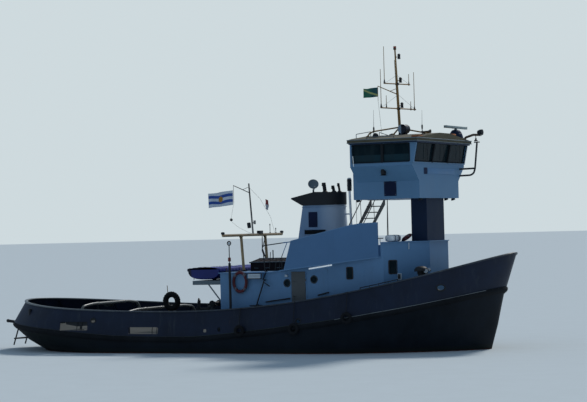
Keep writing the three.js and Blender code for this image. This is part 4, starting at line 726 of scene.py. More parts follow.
def tyre(shape, centre, axle, radius, thick, lugs, squash=0.85):
    """A tyre: a rounded tread with raised lugs, sunken walls and an open bead."""
    centre, axle = Vector(centre), Vector(axle).normalized()
    first = axle.orthogonal().normalized()
    if abs(first.z) > 0.9:
        first = axle.cross(first)
    second = axle.cross(first)
    section = []
    for k in range(14):
        a = k * 2 * pi / 14
        section.append((cos(a) * thick * (1.0 if cos(a) > 0 else 0.92), sin(a) * thick * squash))
    rings = []
    count = lugs * 4
    for j in range(count):
        a = j * 2 * pi / count
        spoke = first * cos(a) + second * sin(a)
        ring = []
        for out, wide in section:
            lug = 0.045 * thick * 2 if out > thick * 0.6 and j % 4 in (0, 1) else 0.0
            ring.append(centre + spoke * (radius + out + lug) + axle * wide)
        rings.append(ring)
    skin(shape, rings, closed=True)


shape = bmesh.new()
chain_spots = []
for side in (-1, 1):
    for x, z in ((1.51, 0.88), (3.81, 0.95), (5.99, 1.35)):
        top, out = side_point(0.3, x, side)
        centre = Vector((x, top.y + out.y * 0.13, z))
        tyre(shape, centre, out, 0.155, 0.065, 14)
        rim, rim_out = side_point(1.0, x, side)
        hang = centre + Vector((0, 0, 0.17))
        high = Vector((x, rim.y + rim_out.y * 0.06, rim.z + 0.03))
        steps = int((high - hang).length / 0.05)
        for k in range(steps):
            spot = hang.lerp(high, (k + 0.5) / steps)
            flat = out if k % 2 else Vector((1, 0, 0))
            chain_spots.append((spot, flat, (high - hang).normalized().cross(flat)))
add_piece("side_tyres", shape, tyre_rubber, angle=50)
repeat("side_tyre_chains", links, chain_spots, {"Length": 0.07, "Width": 0.036, "Wire": 0.006}, black_paint)

# Tow bows, gob post and spare tyre: bent pipe hoops that keep the tow line above the deck, a roller
# on the aft one, a post with a plate cap, and a heavy tyre stood on the post.
bow_paint = steel_paint("bow_paint", (0.03, 0.036, 0.042), patch=0.35, streak=0.6, rust=0.8,
    grime=(0.11, 0.12, 0.12), gloss=0.4, dent=0.5)
# Pale grey steel on the hoops: partly worn bright by the tow line, partly a painted highlight for the
# sunlit tops of the pipes.
hoop_paint = steel_paint("hoop_paint", (0.12, 0.125, 0.12), rough=0.38, patch=0.45, streak=0.6, rust=0.8,
    grime=(0.3, 0.31, 0.3), gloss=0.5, dent=0.4)
for name, x, top, side in (("tow_bow_aft", -6.35, 1.87, 2.3), ("tow_bow_forward", -3.95, 1.65, 2.8)):
    shape = bmesh.new()
    foot = deck_height(x)
    tube(shape, bend([(x, -side, foot), (x, -side, top - 0.3), (x, -side + 0.2, top - 0.07),
        (x, -side + 0.9, top), (x, side - 0.9, top), (x, side - 0.2, top - 0.07), (x, side, top - 0.3),
        (x, side, foot)], 0.18, 6), 0.053, 16)
    for y in (-side, side):
        turned(shape, (x, y, foot), UP, [(0.13, 0.0), (0.13, 0.02), (0.06, 0.024), (0.056, 0.1)])
    for y in (-side * 0.45, 0.0, side * 0.45):
        turned(shape, (x, y - 0.09, top), (0, 1, 0), [(0.056, 0.0), (0.061, 0.01), (0.061, 0.17),
            (0.056, 0.18)], 16)
    add_piece(name + "_pipe", shape, hoop_paint, replaces=[name])
shape = bmesh.new()
turned(shape, (-6.45, -0.22, 1.79), (0, 1, 0), [(0.075, 0.0), (0.11, 0.01), (0.11, 0.05), (0.08, 0.07),
    (0.08, 0.37), (0.11, 0.39), (0.11, 0.43), (0.075, 0.44)])
for y in (-0.2, 0.2):
    tube(shape, [(-6.45, y, 1.79), (-6.36, y, 1.93)], 0.02)
add_piece("tow_bow_roller", shape, black_paint)
finish_node("gob_post", bow_paint)
shape = bmesh.new()
tyre(shape, (-3.45, 0, 1.8903), (0, 1, 0), 0.272, 0.122, 22)
add_piece("spare_tyre", shape, tyre_rubber, replaces=["deck_tyre"], angle=50)
ochre_paint = steel_paint("ochre_paint", (0.27, 0.15, 0.045), patch=0.25, streak=0.35, rust=0.6,
    grime=(0.07, 0.05, 0.03))
shape = bmesh.new()
tube(shape, [(-3.66, 0.14, 1.5), (-3.73, 0.15, 2.53)], 0.014, 10)
turned(shape, (-3.66, 0.14, 1.49), UP, [(0.035, 0.0), (0.035, 0.03), (0.014, 0.05)], 12)
add_piece("gob_stick", shape, ochre_paint)

# Towing gear: a welded post with a reel on it and a swinging hook on a pin, bitts to each side, and
# a hatch whose flat lid is hinged at its front edge and held down by four dogs.
grey_paint = steel_paint("grey_paint", (0.13, 0.17, 0.2), rough=0.55, patch=0.15, rust=0.5, dent=0.5)
finish_node("towing_post", bow_paint)
shape = bmesh.new()
turned(shape, (-1.42, -0.3, 1.79), (0, 1, 0), [(0.05, 0.0), (0.13, 0.005), (0.13, 0.03), (0.07, 0.04),
    (0.085, 0.2), (0.07, 0.34), (0.085, 0.45), (0.07, 0.56), (0.13, 0.57), (0.13, 0.595), (0.05, 0.6)], 24)
for y in (-0.22, 0.22):
    slab(shape, [(-1.5, y - 0.01, 1.69), (-1.2, y - 0.01, 1.69), (-1.38, y - 0.01, 1.84),
        (-1.46, y - 0.01, 1.84)], (0, 0.02, 0))
tube(shape, bend([(-1.42, 0.3, 1.79), (-1.42, 0.36, 1.79), (-1.3, 0.36, 1.68)], 0.02), 0.012)
turned(shape, (-1.12, 0.0, 1.7), UP, [(0.06, -0.01), (0.06, 0.02), (0.03, 0.03), (0.03, 0.12), (0, 0.13)],
    16)
add_piece("tow_post_reel", shape, black_paint)
finish_node("towing_hook", black_paint)
finish_node("aft_hatch", bow_paint)
finish_node("aft_hatch_lid", bow_paint)
shape = bmesh.new()
for x in (-9.05, -8.55):
    for side in (-1, 1):
        y = side * 0.525
        tube(shape, [(x, y, 1.2), (x, y, 1.41)], 0.011)
        tube(shape, [(x - 0.05, y, 1.41), (x + 0.05, y, 1.41)], 0.013)
        turned(shape, (x, y, 1.2), UP, [(0.028, -0.02), (0.028, 0.02)], 10)
add_piece("hatch_dogs", shape, black_paint)
shape = bmesh.new()
for y in (-0.25, 0.25):
    block(shape, (-9.2, y - 0.02, 1.4305), (-8.4, y + 0.02, 1.445), 0.004)
tube(shape, bend([(-9.15, -0.1, 1.43), (-9.15, -0.1, 1.49), (-9.15, 0.1, 1.49), (-9.15, 0.1, 1.43)],
    0.03), 0.01)
add_piece("hatch_lid_bars", shape, bow_paint, body="hatch_lid")
for side, name in ((-1, "bitts_starboard"), (1, "bitts_port")):
    shape = bmesh.new()
    z = deck_height(-5.0)
    for x in (-5.23, -4.77):
        turned(shape, (x, side * 2.62, z + 0.04), UP, [(0.115, 0.0), (0.105, 0.02), (0.1, 0.25),
            (0.105, 0.49), (0.128, 0.5), (0.13, 0.52), (0.122, 0.54), (0, 0.545)], 24)
    block(shape, (-5.39, side * 2.62 - 0.16, z + 0.001), (-4.61, side * 2.62 + 0.16, z + 0.04), 0.006)
    tube(shape, [(-5.4, side * 2.62, z + 0.3), (-4.6, side * 2.62, z + 0.3)], 0.022, 12)
    add_piece(name + "_posts", shape, bow_paint, replaces=[name])
shape = bmesh.new()
for side in (-1, 1):
    spot, out = side_point(0.62, -8.6, side, 0.0)
    turned(shape, spot - Vector((0, 0, 0.16)), UP, [(0.04, 0.0), (0.075, 0.015), (0.06, 0.06), (0.06, 0.26),
        (0.075, 0.3), (0.04, 0.32)])
add_piece("stern_rollers", shape, black_paint)

# Windlass: a welded frame with a shaft, a warping drum at each end and a chain wheel in the middle.
# A mushroom vent on a turned pipe stands aft of it, with two small deck lamps clamped to it.
shape = bmesh.new()
z = deck_height(9.25)
block(shape, (9.0, -0.5, z + 0.0005), (9.5, 0.5, z + 0.12), 0.01)
for y in (-0.4, 0.4):
    slab(shape, [(9.06, y - 0.02, z + 0.12), (9.44, y - 0.02, z + 0.12), (9.33, y - 0.02, z + 0.66),
        (9.17, y - 0.02, z + 0.66)], (0, 0.04, 0))
block(shape, (9.1, -0.16, z + 0.12), (9.4, 0.16, z + 0.76), 0.03)
turned(shape, (9.25, -0.64, z + 0.52), (0, 1, 0), [(0.17, 0.0), (0.18, 0.02), (0.16, 0.05), (0.105, 0.08),
    (0.1, 0.16), (0.14, 0.22), (0.06, 0.23), (0.06, 1.05), (0.14, 1.06), (0.1, 1.12), (0.105, 1.2),
    (0.16, 1.23), (0.18, 1.26), (0.17, 1.28)], 28)
turned(shape, (9.25, -0.36, z + 0.52), (0, 1, 0), [(0.17, 0.0), (0.17, 0.03), (0.11, 0.05), (0.11, 0.11),
    (0.17, 0.13), (0.17, 0.16)], 12)
add_piece("windlass_frame", shape, bow_paint, replaces=["windlass"], angle=40)
shape = bmesh.new()
z = deck_height(8.4)
turned(shape, (8.4, -1.95, 0), UP, [(0.19, z + 0.0005), (0.19, z + 0.02), (0.13, z + 0.025), (0.128, 2.99),
    (0.15, 3.0), (0.25, 3.0), (0.258, 3.015), (0.25, 3.09), (0.2, 3.15), (0.11, 3.19), (0, 3.2)], 28)
for k in range(6):
    a = k * pi / 3
    block(shape, (8.4 + 0.15 * cos(a) - 0.01, -1.95 + 0.15 * sin(a) - 0.01, 2.9),
        (8.4 + 0.15 * cos(a) + 0.01, -1.95 + 0.15 * sin(a) + 0.01, 3.01))
add_piece("mushroom_vent", shape, black_paint, replaces=["foredeck_vent"])
shape = bmesh.new()
turned(shape, (8.62, -2.02, 2.99), (0.3, -0.9, 0.3), [(0.03, -0.1), (0.075, -0.08), (0.085, 0.05),
    (0.075, 0.07), (0.02, 0.075)], 18)
tube(shape, [(8.4, -1.98, 2.95), (8.62, -2.02, 2.95)], 0.018)
turned(shape, (8.62, -1.7, 3.05), (0.2, -0.9, 0.4), [(0.02, -0.08), (0.055, -0.06), (0.065, 0.04),
    (0.02, 0.05)], 18)
tube(shape, [(8.4, -1.9, 2.98), (8.62, -1.7, 3.03)], 0.016)
lamp_metal = steel_paint("lamp_metal", (0.35, 0.38, 0.4), rough=0.25, streak=0.2, rust=0.2, gloss=0.5,
    metal=0.85, dent=0.2)
add_piece("foredeck_lamps", shape, lamp_metal)

# Deckhouse: flat welded steel plate in pale blue-grey, open inside, its plates joined by upright
# welds that show as lines. Its doors hang on outside hinges and close on a raised frame.
house_paint = steel_paint("house_paint", (0.112, 0.24, 0.42), rough=0.45, patch=0.07, streak=0.16, rust=0.3,
    grime=(0.06, 0.09, 0.12), seam=1.9, dent=1.2)
finish_node("deckhouse", house_paint, 30)
door_paint = steel_paint("door_paint", (0.09, 0.1, 0.105), patch=0.15, streak=0.25, rust=0.4,
    grime=(0.04, 0.035, 0.03), dent=0.8)
dark_trim = steel_paint("dark_trim", (0.018, 0.022, 0.027), streak=0.2, rust=0.3)
brown_trim = steel_paint("brown_trim", (0.085, 0.062, 0.045), patch=0.25, streak=0.2, rust=0.3)
HOUSE_HALF = 2.35
for side, name in ((-1, "starboard"), (1, "port")):
    finish_node("deckhouse_door_" + name, door_paint)
    y = side * HOUSE_HALF
    shape = bmesh.new()
    for x0, z0, x1, z1 in ((3.142, 1.217, 3.178, 3.018), (3.142, 2.982, 3.858, 3.018),
            (3.822, 1.217, 3.858, 3.018), (3.142, 1.217, 3.858, 1.253)):
        block(shape, (x0, y, z0), (x1, y + side * 0.012, z1), 0.004)
    add_piece("door_frame_" + name, shape, house_paint)
    shape = bmesh.new()
    for z in (1.6, 2.15, 2.7):
        turned(shape, (3.29, y + side * 0.004, z), (0, side, 0), [(0.026, 0.0), (0.026, 0.014),
            (0.013, 0.016), (0.013, 0.034), (0, 0.035)], 14)
        tube(shape, [(3.29, y + side * 0.03, z), (3.43, y + side * 0.036, z - 0.03)], 0.009,
            end_radius=0.007)
    for z in (1.32, 2.02, 2.5):
        block(shape, (3.245, y + side * 0.0005, z), (3.755, y + side * 0.006, z + 0.005), 0.001)
    add_piece("door_dogs_" + name, shape, door_paint, body="door_" + name)

# Portholes and windows: turned rings bolted over round openings, and rounded frames over the square
# ones, each holding one pane of toughened glass in a rubber seat.
window_glass = bpy.data.materials.new("window_glass")
tree = tree_of(window_glass)
where = put(tree, "ShaderNodeTexCoord").outputs["Object"]
film = noise(tree, where, 2.5, 5.0, (1, 1, 0.4))
ripple = put(tree, "ShaderNodeBump", {"Strength": 0.08, "Distance": 0.01,
    "Height": noise(tree, where, 1.2)})
split = put(tree, "ShaderNodeSeparateXYZ", {0: where})
cabin_side = band(tree, maths(tree, "ABSOLUTE", split.outputs[1]), 2.4, 2.45)
# The cabin's side panes are painted lighter below 7.37 m than above.
lighter_low_side_panes = maths(tree, "MULTIPLY", cabin_side, band(tree, split.outputs[2], 7.36, 7.39, 1.0, 0.0))
tint = mixed(tree, lighter_low_side_panes, rgba((0.0055, 0.015, 0.021)), rgba((0.016, 0.042, 0.056)))
glass_coat = put(tree, "ShaderNodeBsdfPrincipled", {
    "Base Color": mixed(tree, band(tree, film, 0.4, 0.8), tint, rgba((0.02, 0.034, 0.041))),
    "Roughness": band(tree, film, 0.4, 0.8, 0.05, 0.2),
    "Normal": ripple.outputs[0], "Alpha": 0.97, "Specular IOR Level": 0.03})
put(tree, "ShaderNodeOutputMaterial", {"Surface": glass_coat.outputs[0]})
ring_metal = steel_paint("ring_metal", (0.045, 0.055, 0.06), rough=0.4, streak=0.2, rust=0.3, metal=0.3,
    dent=0.2)
ring_shape, disc_shape, ring_bolts = bmesh.new(), bmesh.new(), []
for side in (-1, 1):
    for x, z in ((3.015, 2.64), (4.16, 2.765)):
        turned(ring_shape, (x, side * 2.351, z), (0, side, 0), [(0.118, -0.05), (0.118, 0.014),
            (0.124, 0.022), (0.14, 0.022), (0.146, 0.014), (0.158, 0.01), (0.16, 0.0), (0.121, -0.001),
            (0.121, -0.05)], 36)
        turned(disc_shape, (x, side * 2.335, z), (0, side, 0), [(0, -0.005), (0.119, -0.005),
            (0.119, 0.005), (0, 0.007)], 36)
        for k in range(8):
            a = (k + 0.5) * pi / 4
            spot = Vector((x + 0.152 * cos(a), side * 2.3595, z + 0.152 * sin(a)))
            ring_bolts.append((spot, (0, side, 0)))
add_piece("porthole_rings", ring_shape, ring_metal)
repeat("porthole_bolts", bolts, ring_bolts, {"Radius": 0.006, "Height": 0.006}, ring_metal)


def window_frame(shape, glass, centre, across, out, wide, tall, edge=0.035, proud=0.018):
    """A rounded frame on a wall, and the pane behind it."""
    centre, across, out = Vector(centre), Vector(across).normalized(), Vector(out).normalized()
    up = Vector(UP)
    loops = []
    for grow, lift in ((0.0, -0.03), (0.0, proud), (edge * 0.8, proud), (edge, proud * 0.6),
            (edge, 0.0005)):
        loops.append([centre + across * u + up * w + out * lift
            for u, w in rounded(wide, tall, 0.03, 0.03 + grow)])
    skin(shape, loops, closed=True)
    corners = [centre + across * u * (wide / 2 + 0.004) + up * w * (tall / 2 + 0.004) - out * 0.026
        for u, w in ((-1, -1), (1, -1), (1, 1), (-1, 1))]
    slab(glass, corners, out * 0.008)


shape = bmesh.new()
turn = radians(47.9)
for side in (-1, 1):
    window_frame(shape, disc_shape, (5.66, side * HOUSE_HALF, 2.985), (1, 0, 0), (0, side, 0), 0.22, 0.41)
    wall_out = Vector((sin(turn), side * cos(turn), 0))
    wall_along = Vector((cos(turn), -side * sin(turn), 0))
    window_frame(shape, disc_shape, Vector((7.306, side * 2.067, 3.1825)), wall_along, wall_out, 0.3, 0.465)
frame_paint = steel_paint("frame_paint", (0.035, 0.032, 0.032), rust=0.4, dent=0.2)
add_piece("house_window_frames", shape, frame_paint, angle=50)
add_piece("house_panes", disc_shape, window_glass)

# Wall fittings: pipe handrails on stand-offs, a lamp over the aft porthole, a locker with a framed
# face, a small framed box, and a long strip lamp fitting under the edge of the boat deck, whose faint
# glow is a painted highlight for sunlight on the strip.
pale_paint = steel_paint("pale_paint", (0.5, 0.58, 0.64), rough=0.45, patch=0.12, streak=0.25, rust=0.4,
    grime=(0.2, 0.22, 0.22), dent=0.2)
shape = bmesh.new()
for side in (-1, 1):
    for path in (((2.11, 1.93), (3.12, 2.055)), ((4.34, 2.17), (4.76, 2.265))):
        (x0, z0), (x1, z1) = path
        y = side * HOUSE_HALF
        tube(shape, bend([(x0, y, z0), (x0, y + side * 0.07, z0), (x1, y + side * 0.07, z1), (x1, y, z1)],
            0.03), 0.027, 10)
        for share in (0.33, 0.66):
            x, z = x0 + (x1 - x0) * share, z0 + (z1 - z0) * share
            tube(shape, [(x, y, z), (x, y + side * 0.07, z)], 0.012)
add_piece("wall_handrails", shape, dark_trim)
shape = bmesh.new()
block(shape, (1.47, -2.605, 2.845), (1.98, -2.592, 3.015), 0.004)
add_piece("locker_face", shape, pale_paint)
shape = bmesh.new()
for x0, z0, x1, z1 in ((1.385, 2.815, 2.065, 2.845), (1.385, 3.015, 2.065, 3.045),
        (1.385, 2.845, 1.42, 3.015), (2.03, 2.845, 2.065, 3.015)):
    block(shape, (x0, -2.607, z0), (x1, -2.592, z1), 0.004)
for z in (2.9, 2.96):
    block(shape, (1.5, -2.609, z), (1.95, -2.605, z + 0.008), 0.001)
block(shape, (7.445, -1.945, 2.73), (7.555, -1.88, 2.91), 0.008)
add_piece("wall_boxes", shape, dark_trim)
shape = bmesh.new()
for side in (-1, 1):
    block(shape, (2.96, side * HOUSE_HALF, 2.875), (3.06, side * 2.44, 2.965), 0.012)
block(shape, (7.42, -1.93, 2.7), (7.58, -1.87, 2.94), 0.008)
tube(shape, [(7.774, -1.59, 3.83), (7.774, -1.59, 4.08)], 0.022, 10)
add_piece("wall_lamps", shape, pale_paint)
strip_painted_glow = steel_paint("strip_painted_glow", (0.7, 0.75, 0.78), rough=0.4, patch=0.1, streak=0.1, dent=0.1)
# The strip's faint glow is painted light: a highlight for sunlight catching the strip.
glow_shader = next(node for node in strip_painted_glow.node_tree.nodes if node.type == "BSDF_PRINCIPLED")
glow_shader.inputs["Emission Color"].default_value = (0.8, 0.92, 1.0, 1.0)
glow_shader.inputs["Emission Strength"].default_value = 0.4
shape = bmesh.new()
for side in (-1, 1):
    tube(shape, [(3.976, side * 2.385, 3.172), (4.935, side * 2.385, 3.3)], 0.026, 10)
    for x, z in ((4.1, 3.188), (4.8, 3.282)):
        tube(shape, [(x, side * 2.349, z), (x, side * 2.385, z)], 0.012)
add_piece("deck_edge_glow_strips", shape, strip_painted_glow)


def boat_deck_height(x):
    return 3.08 + 0.11 * (x - 2.3)


shape = bmesh.new()
for side in (-1, 1):
    for x in (2.79, 4.74, 6.25):
        tube(shape, [(x, side * 2.3505, deck_height(x) + 0.03),
            (x, side * 2.3505, boat_deck_height(x) - 0.08)], 0.005, 6)
    tube(shape, [(0.12, side * 2.3505, 2.45), (2.79, side * 2.3505, 2.45)], 0.004, 6)
add_piece("wall_welds", shape, house_paint)

# Boat deck and side screens: a plate deck over the house with tall plated screens along both edges.
# A half-round capping catches the light along each screen, and upright stiffeners stand inside.
finish_node("boat_deck", house_paint)
screen_paint = steel_paint("screen_paint", (0.085, 0.19, 0.355), rough=0.46, patch=0.05,
    streak=0.1, rust=0.2, grime=(0.05, 0.085, 0.12), seam=2.6, gloss=0.25, dent=1.0)
repaint(screen_paint, 0, 3.05, (0.02, 0.024, 0.03), soft=0.01, wander=0.0)
for name in ("side_screen_starboard", "side_screen_port"):
    finish_node(name, screen_paint, 30)


def screen_y(x):
    return 2.75 - (2.75 - 2.4) * min(1.0, max(0.0, (x - 4.3) / 2.4))


shape = bmesh.new()
screen_tops = {
    -1: ((3.417, 4.238), (5.82, 4.777), (6.2, 4.827), (6.88, 4.848)),
    1: ((3.33, 3.88), (6.88, 4.075))}
for side, top in screen_tops.items():
    path = [(3.097, 3.168), *top]
    points = []
    for (x0, z0), (x1, z1) in zip(path, path[1:]):
        for k in range(12):
            x = x0 + (x1 - x0) * k / 12
            points.append((x, side * (screen_y(x) - 0.015), z0 + (z1 - z0) * k / 12))
    points.append((path[-1][0], side * (screen_y(path[-1][0]) - 0.015), path[-1][1]))
    tube(shape, points, 0.021, 10)
add_piece("screen_capping", shape, house_paint, angle=60)
stiffener_spots = []
for side, top in screen_tops.items():
    for number in range(6):
        x = 3.6 + number * 0.6
        height = next(z0 + (z1 - z0) * (x - x0) / (x1 - x0) for (x0, z0), (x1, z1) in zip(top, top[1:])
            if x0 <= x <= x1)
        foot = boat_deck_height(x)
        stiffener_spots.append(((x, side * (screen_y(x) - 0.03), foot + 0.001), (0, 0, 1), (0, -side, 0),
            (1, 1, height - foot - 0.04)))
repeat("screen_stiffeners", brackets, stiffener_spots, {"Depth": 0.09, "Thickness": 0.01, "Head": 0.55},
    screen_paint)
shape = bmesh.new()
block(shape, (6.87, -2.405, 4.25), (7.1, -2.385, 4.285), 0.005)
tube(shape, bend([(6.96, -2.39, 4.13), (6.96, -2.39, 4.27)], 0.02), 0.012)
add_piece("screen_end_bar", shape, dark_trim)

# Funnel: a plated casing, half round at its front, with louvres low on each side, a blank navy board,
# a black hood that points aft, three exhaust pipes and a white vent pipe up its front edge.
funnel_paint = steel_paint("funnel_paint", (0.18, 0.285, 0.43), rough=0.42, patch=0.06,
    streak=0.12, rust=0.2, grime=(0.08, 0.11, 0.14), seam=2.6, dent=1.0)
# Forward of x = 4.05 the funnel paint fades to pale blue-white: a painted highlight for sunlight on its
# half-round front.
repaint(funnel_paint, 0, 4.05, (0.6, 0.66, 0.72), soft=0.55, wander=0.1, above=True)
finish_node("funnel", funnel_paint, 30)
finish_node("funnel_cap", black_paint, 30)


def funnel_side(z):
    return 0.62 - 0.06 * (z - 3.2) / 2.4


louvre_spots = []
for side in (-1, 1):
    for number in range(5):
        z = 4.495 + number * 0.032
        louvre_spots.append(((3.4, side * (funnel_side(z) - 0.012), z), (0, side * 0.55, 0.83), (1, 0, 0)))
repeat("funnel_louvres", bars, louvre_spots, {"Length": 0.895, "Width": 0.045, "Thickness": 0.004},
    dark_trim)
# Near-black, rough paint. On the backs of the funnel's louvre slots it is painted shade, standing in for
# the shade inside the slots; the wheelhouse fittings use it too.
dark_inside = steel_paint("dark_inside", (0.006, 0.007, 0.009), rough=0.9, patch=0.2, streak=0.0, rust=0.2,
    dent=0.0)
board_paint = steel_paint("board_paint", (0.006, 0.014, 0.05), streak=0.2, grime=(0.01, 0.018, 0.05),
    gloss=0.12)
# The slot backs are near-black plates: painted shade inside the louvre slots.
slot_shape = bmesh.new()
board_shape = bmesh.new()
funnel_trim = bmesh.new()
for side in (-1, 1):
    block(slot_shape, (2.95, side * 0.56, 4.48), (3.85, side * 0.57, 4.64))
    corners = [(3.13, 4.75), (3.51, 4.75), (3.51, 5.34), (3.13, 5.34)]
    slab(board_shape, [(x, side * (funnel_side(z) + 0.002), z) for x, z in corners], (0, side * 0.012, 0))
    for (x0, z0), (x1, z1) in (((2.92, 4.46), (3.88, 4.46)), ((2.92, 4.66), (3.88, 4.66)),
            ((2.93, 4.46), (2.93, 4.66)), ((3.87, 4.46), (3.87, 4.66))):
        tube(funnel_trim, [(x0, side * funnel_side(z0), z0), (x1, side * funnel_side(z1), z1)], 0.016)
add_piece("funnel_slot_backs", slot_shape, dark_inside)
add_piece("funnel_boards", board_shape, board_paint)
for z, height in ((5.54, 0.045), (3.95, 0.012)):
    r = funnel_side(z) + 0.012
    aft = 2.45 + (2.88 - 2.45) * (z - 3.2) / 2.4
    centre = 3.96 + (3.86 - 3.96) * (z - 3.2) / 2.4
    loop = [(aft, -r)] + [(centre + r * cos(a), r * sin(a))
        for a in (radians(-90 + k * 9) for k in range(21))] + [(aft, r)]
    tube(funnel_trim, [(x, y, z) for x, y in loop], height / 2, closed=True)
add_piece("funnel_trim", funnel_trim, funnel_paint, angle=60)
shape = bmesh.new()
for x, y, top, r in ((3.7, -0.19, 6.45, 0.075), (4.0, 0.0, 6.33, 0.06), (4.15, 0.19, 6.42, 0.045)):
    turned(shape, (x - 0.06, y, top - 0.1), (-0.05, 0, 1), [(r + 0.001, 0.0), (r + 0.014, 0.01),
        (r + 0.014, 0.03), (r + 0.004, 0.04), (r + 0.004, 0.12), (r - 0.008, 0.125), (r - 0.012, 0.105),
        (0, 0.104)], 24)
    turned(shape, (x - 0.02, y, 6.1), (-0.1, 0, 1), [(r + 0.05, -0.01), (r + 0.03, 0.03),
        (r + 0.004, 0.05)], 24)
add_piece("exhaust_tips", shape, black_paint)
shape = bmesh.new()
tube(shape, [(4.727, 0, 3.35), (4.652, 0, 6.13)], 0.047, 20)
for z in (3.9, 5.2):
    turned(shape, (4.711 - (z - 3.9) * 0.027, 0, z), UP, [(0.047, -0.01), (0.058, 0.0), (0.058, 0.05),
        (0.047, 0.06)])
white_paint = steel_paint("white_paint", (0.86, 0.89, 0.9), rough=0.35, patch=0.08, streak=0.15, rust=0.25,
    grime=(0.35, 0.36, 0.34), dent=0.1)
add_piece("vent_pipe_sleeve", shape, white_paint)
shape = bmesh.new()
turned(shape, (4.65, 0, 6.14), UP, [(0.076, -0.02), (0.086, 0.0), (0.086, 0.05), (0.078, 0.06),
    (0.078, 0.16), (0.088, 0.17), (0.088, 0.2), (0.078, 0.21), (0.078, 0.38), (0.09, 0.39), (0.09, 0.42),
    (0.05, 0.49), (0, 0.492)], 24)
for k in range(4):
    a = k * pi / 2 + 0.4
    tube(shape, [(4.65 + 0.088 * cos(a), 0.088 * sin(a), 6.2),
        (4.65 + 0.088 * cos(a), 0.088 * sin(a), 6.54)], 0.006, 6)
add_piece("funnel_lantern", shape, dark_trim)
finish_node("satellite_dish", grey_paint, 50)
shape = bmesh.new()
tube(shape, [(3.2, -0.22, 6.23), (3.38, -0.5, 6.22), (3.4, -0.53, 6.3)], 0.011)
turned(shape, (3.4, -0.53, 6.28), (-0.3, 0.4, 0.5), [(0.02, 0.0), (0.035, 0.01), (0.035, 0.06),
    (0.02, 0.08)], 14)
turned(shape, (3.16, -0.15, 6.05), UP, [(0.06, 0.0), (0.06, 0.02), (0.035, 0.03), (0.035, 0.16)], 16)
tube(shape, [(3.45, 0.25, 6.1), (3.45, 0.25, 6.33), (3.5, 0.2, 6.38)], 0.02, 10)
add_piece("dish_arm", shape, grey_paint)

# Skylight: a low steel box with a pitched top, covered in strips between raised bars, with pipe
# rails along its edges and ridge and three lashing loops at its side.
skylight_paint = steel_paint("skylight_paint", (0.016, 0.012, 0.015), rough=0.8, streak=0.2, rust=0.5,
    gloss=0.1)
finish_node("skylight", skylight_paint, 30)
sky_spots = []
for side in (-1, 1):
    lean = Vector((0, side * 0.13, 0.84)).normalized()
    for number in range(7):
        x = 0.72 + number * 0.228
        sky_spots.append(((x, side * 0.42, 3.5), lean, Vector((0, side * 0.84, -0.13)).normalized()))
repeat("skylight_bars", bars, sky_spots, {"Length": 0.84, "Width": 0.03, "Thickness": 0.026},
    skylight_paint)
shape = bmesh.new()
for y, z, size in ((-0.84, 3.432, 0.014), (0, 3.562, 0.02), (0.84, 3.432, 0.014)):
    tube(shape, [(0.61, y, z), (2.2, y, z)], size)
for x in (0.9, 1.4, 1.9):
    tube(shape, bend([(x - 0.08, -0.8, 3.2), (x - 0.08, -0.85, 3.2), (x + 0.08, -0.85, 3.2),
        (x + 0.08, -0.8, 3.2)], 0.02), 0.009)
add_piece("skylight_rails", shape, grey_paint)

# Stairs up to the wheelhouse: treads with flat nosing bars welded on between two flat stringers, a
# pipe handrail, and two rods from the wheelhouse floor to the decks below.
stair_paint = steel_paint("stair_paint", (0.14, 0.125, 0.105), patch=0.2, rust=0.5)
finish_node("wheelhouse_stairs", stair_paint, 50)
nose_spots = []
foot_z = boat_deck_height(5.4)
for number in range(1, 10):
    t = number / 10
    y, z = -1.85 + 2.85 * t - 0.04, foot_z + (5.74 - foot_z) * t
    for back, size in ((-0.1, (1, 1, 1)), (-0.04, (0.94, 0.5, 1)), (0.03, (0.94, 0.5, 1))):
        nose_spots.append(((5.4, y + back, z + 0.002), (0, 0, 1), (1, 0, 0), size))
repeat("tread_nosings", bars, nose_spots, {"Length": 0.585, "Width": 0.03, "Thickness": 0.012}, stair_paint)
shape = bmesh.new()
tube(shape, bend([(5.69, -1.91, foot_z + 0.05), (5.69, -1.95, foot_z + 0.7), (5.69, 0.94, 6.44),
    (5.69, 1.06, 6.6)], 0.1), 0.017, 10)
for share in (0.3, 0.65):
    y = -1.95 + 2.9 * share
    z = foot_z + 0.7 + (6.44 - foot_z - 0.7) * share
    tube(shape, [(5.69, y, z), (5.69, y + 0.05, z - 0.72)], 0.012)
    tube(shape, [(5.112, y + 0.04, z), (5.112, y + 0.09, z - 0.72)], 0.012)
add_piece("stair_handrail", shape, stair_paint)
shape = bmesh.new()
tube(shape, [(6.79, -1.25, 5.73), (6.75, -1.25, 4.131)], 0.012)
tube(shape, [(5.81, -1.93, 5.73), (5.81, -1.93, 4.78)], 0.008)
add_piece("wheelhouse_ties", shape, dark_trim)

# Column and wheelhouse walls: a tall navy trunk carries a wide steel cabin in pale blue-grey, its
# sides flared out over the trunk. Blank navy boards are screwed to the walls, with a side lamp.
navy_paint = steel_paint("navy_paint", (0.009, 0.022, 0.056), patch=0.15, streak=0.2, rust=0.15,
    grime=(0.025, 0.04, 0.06), seam=2.1, gloss=0.15, dent=1.6)
finish_node("column", navy_paint, 30)
wheelhouse_paint = steel_paint("wheelhouse_paint", (0.107, 0.228, 0.38), rough=0.42, patch=0.05,
    streak=0.1, rust=0.12, grime=(0.06, 0.09, 0.12), seam=1.6, gloss=0.25, dent=0.8)
for name in ("wheelhouse_walls", "wheelhouse_window_band", "wheelhouse_door"):
    finish_node(name, wheelhouse_paint, 30)
shape = bmesh.new()
board_bolts = []
for side in (-1, 1):
    block(shape, (6.99, side * 1.952, 5.84), (7.49, side * 1.962, 6.385))
    for x in (7.02, 7.46):
        for z in (5.89, 6.33):
            board_bolts.append(((x, side * 1.962, z), (0, side, 0), (1, 0, 0)))
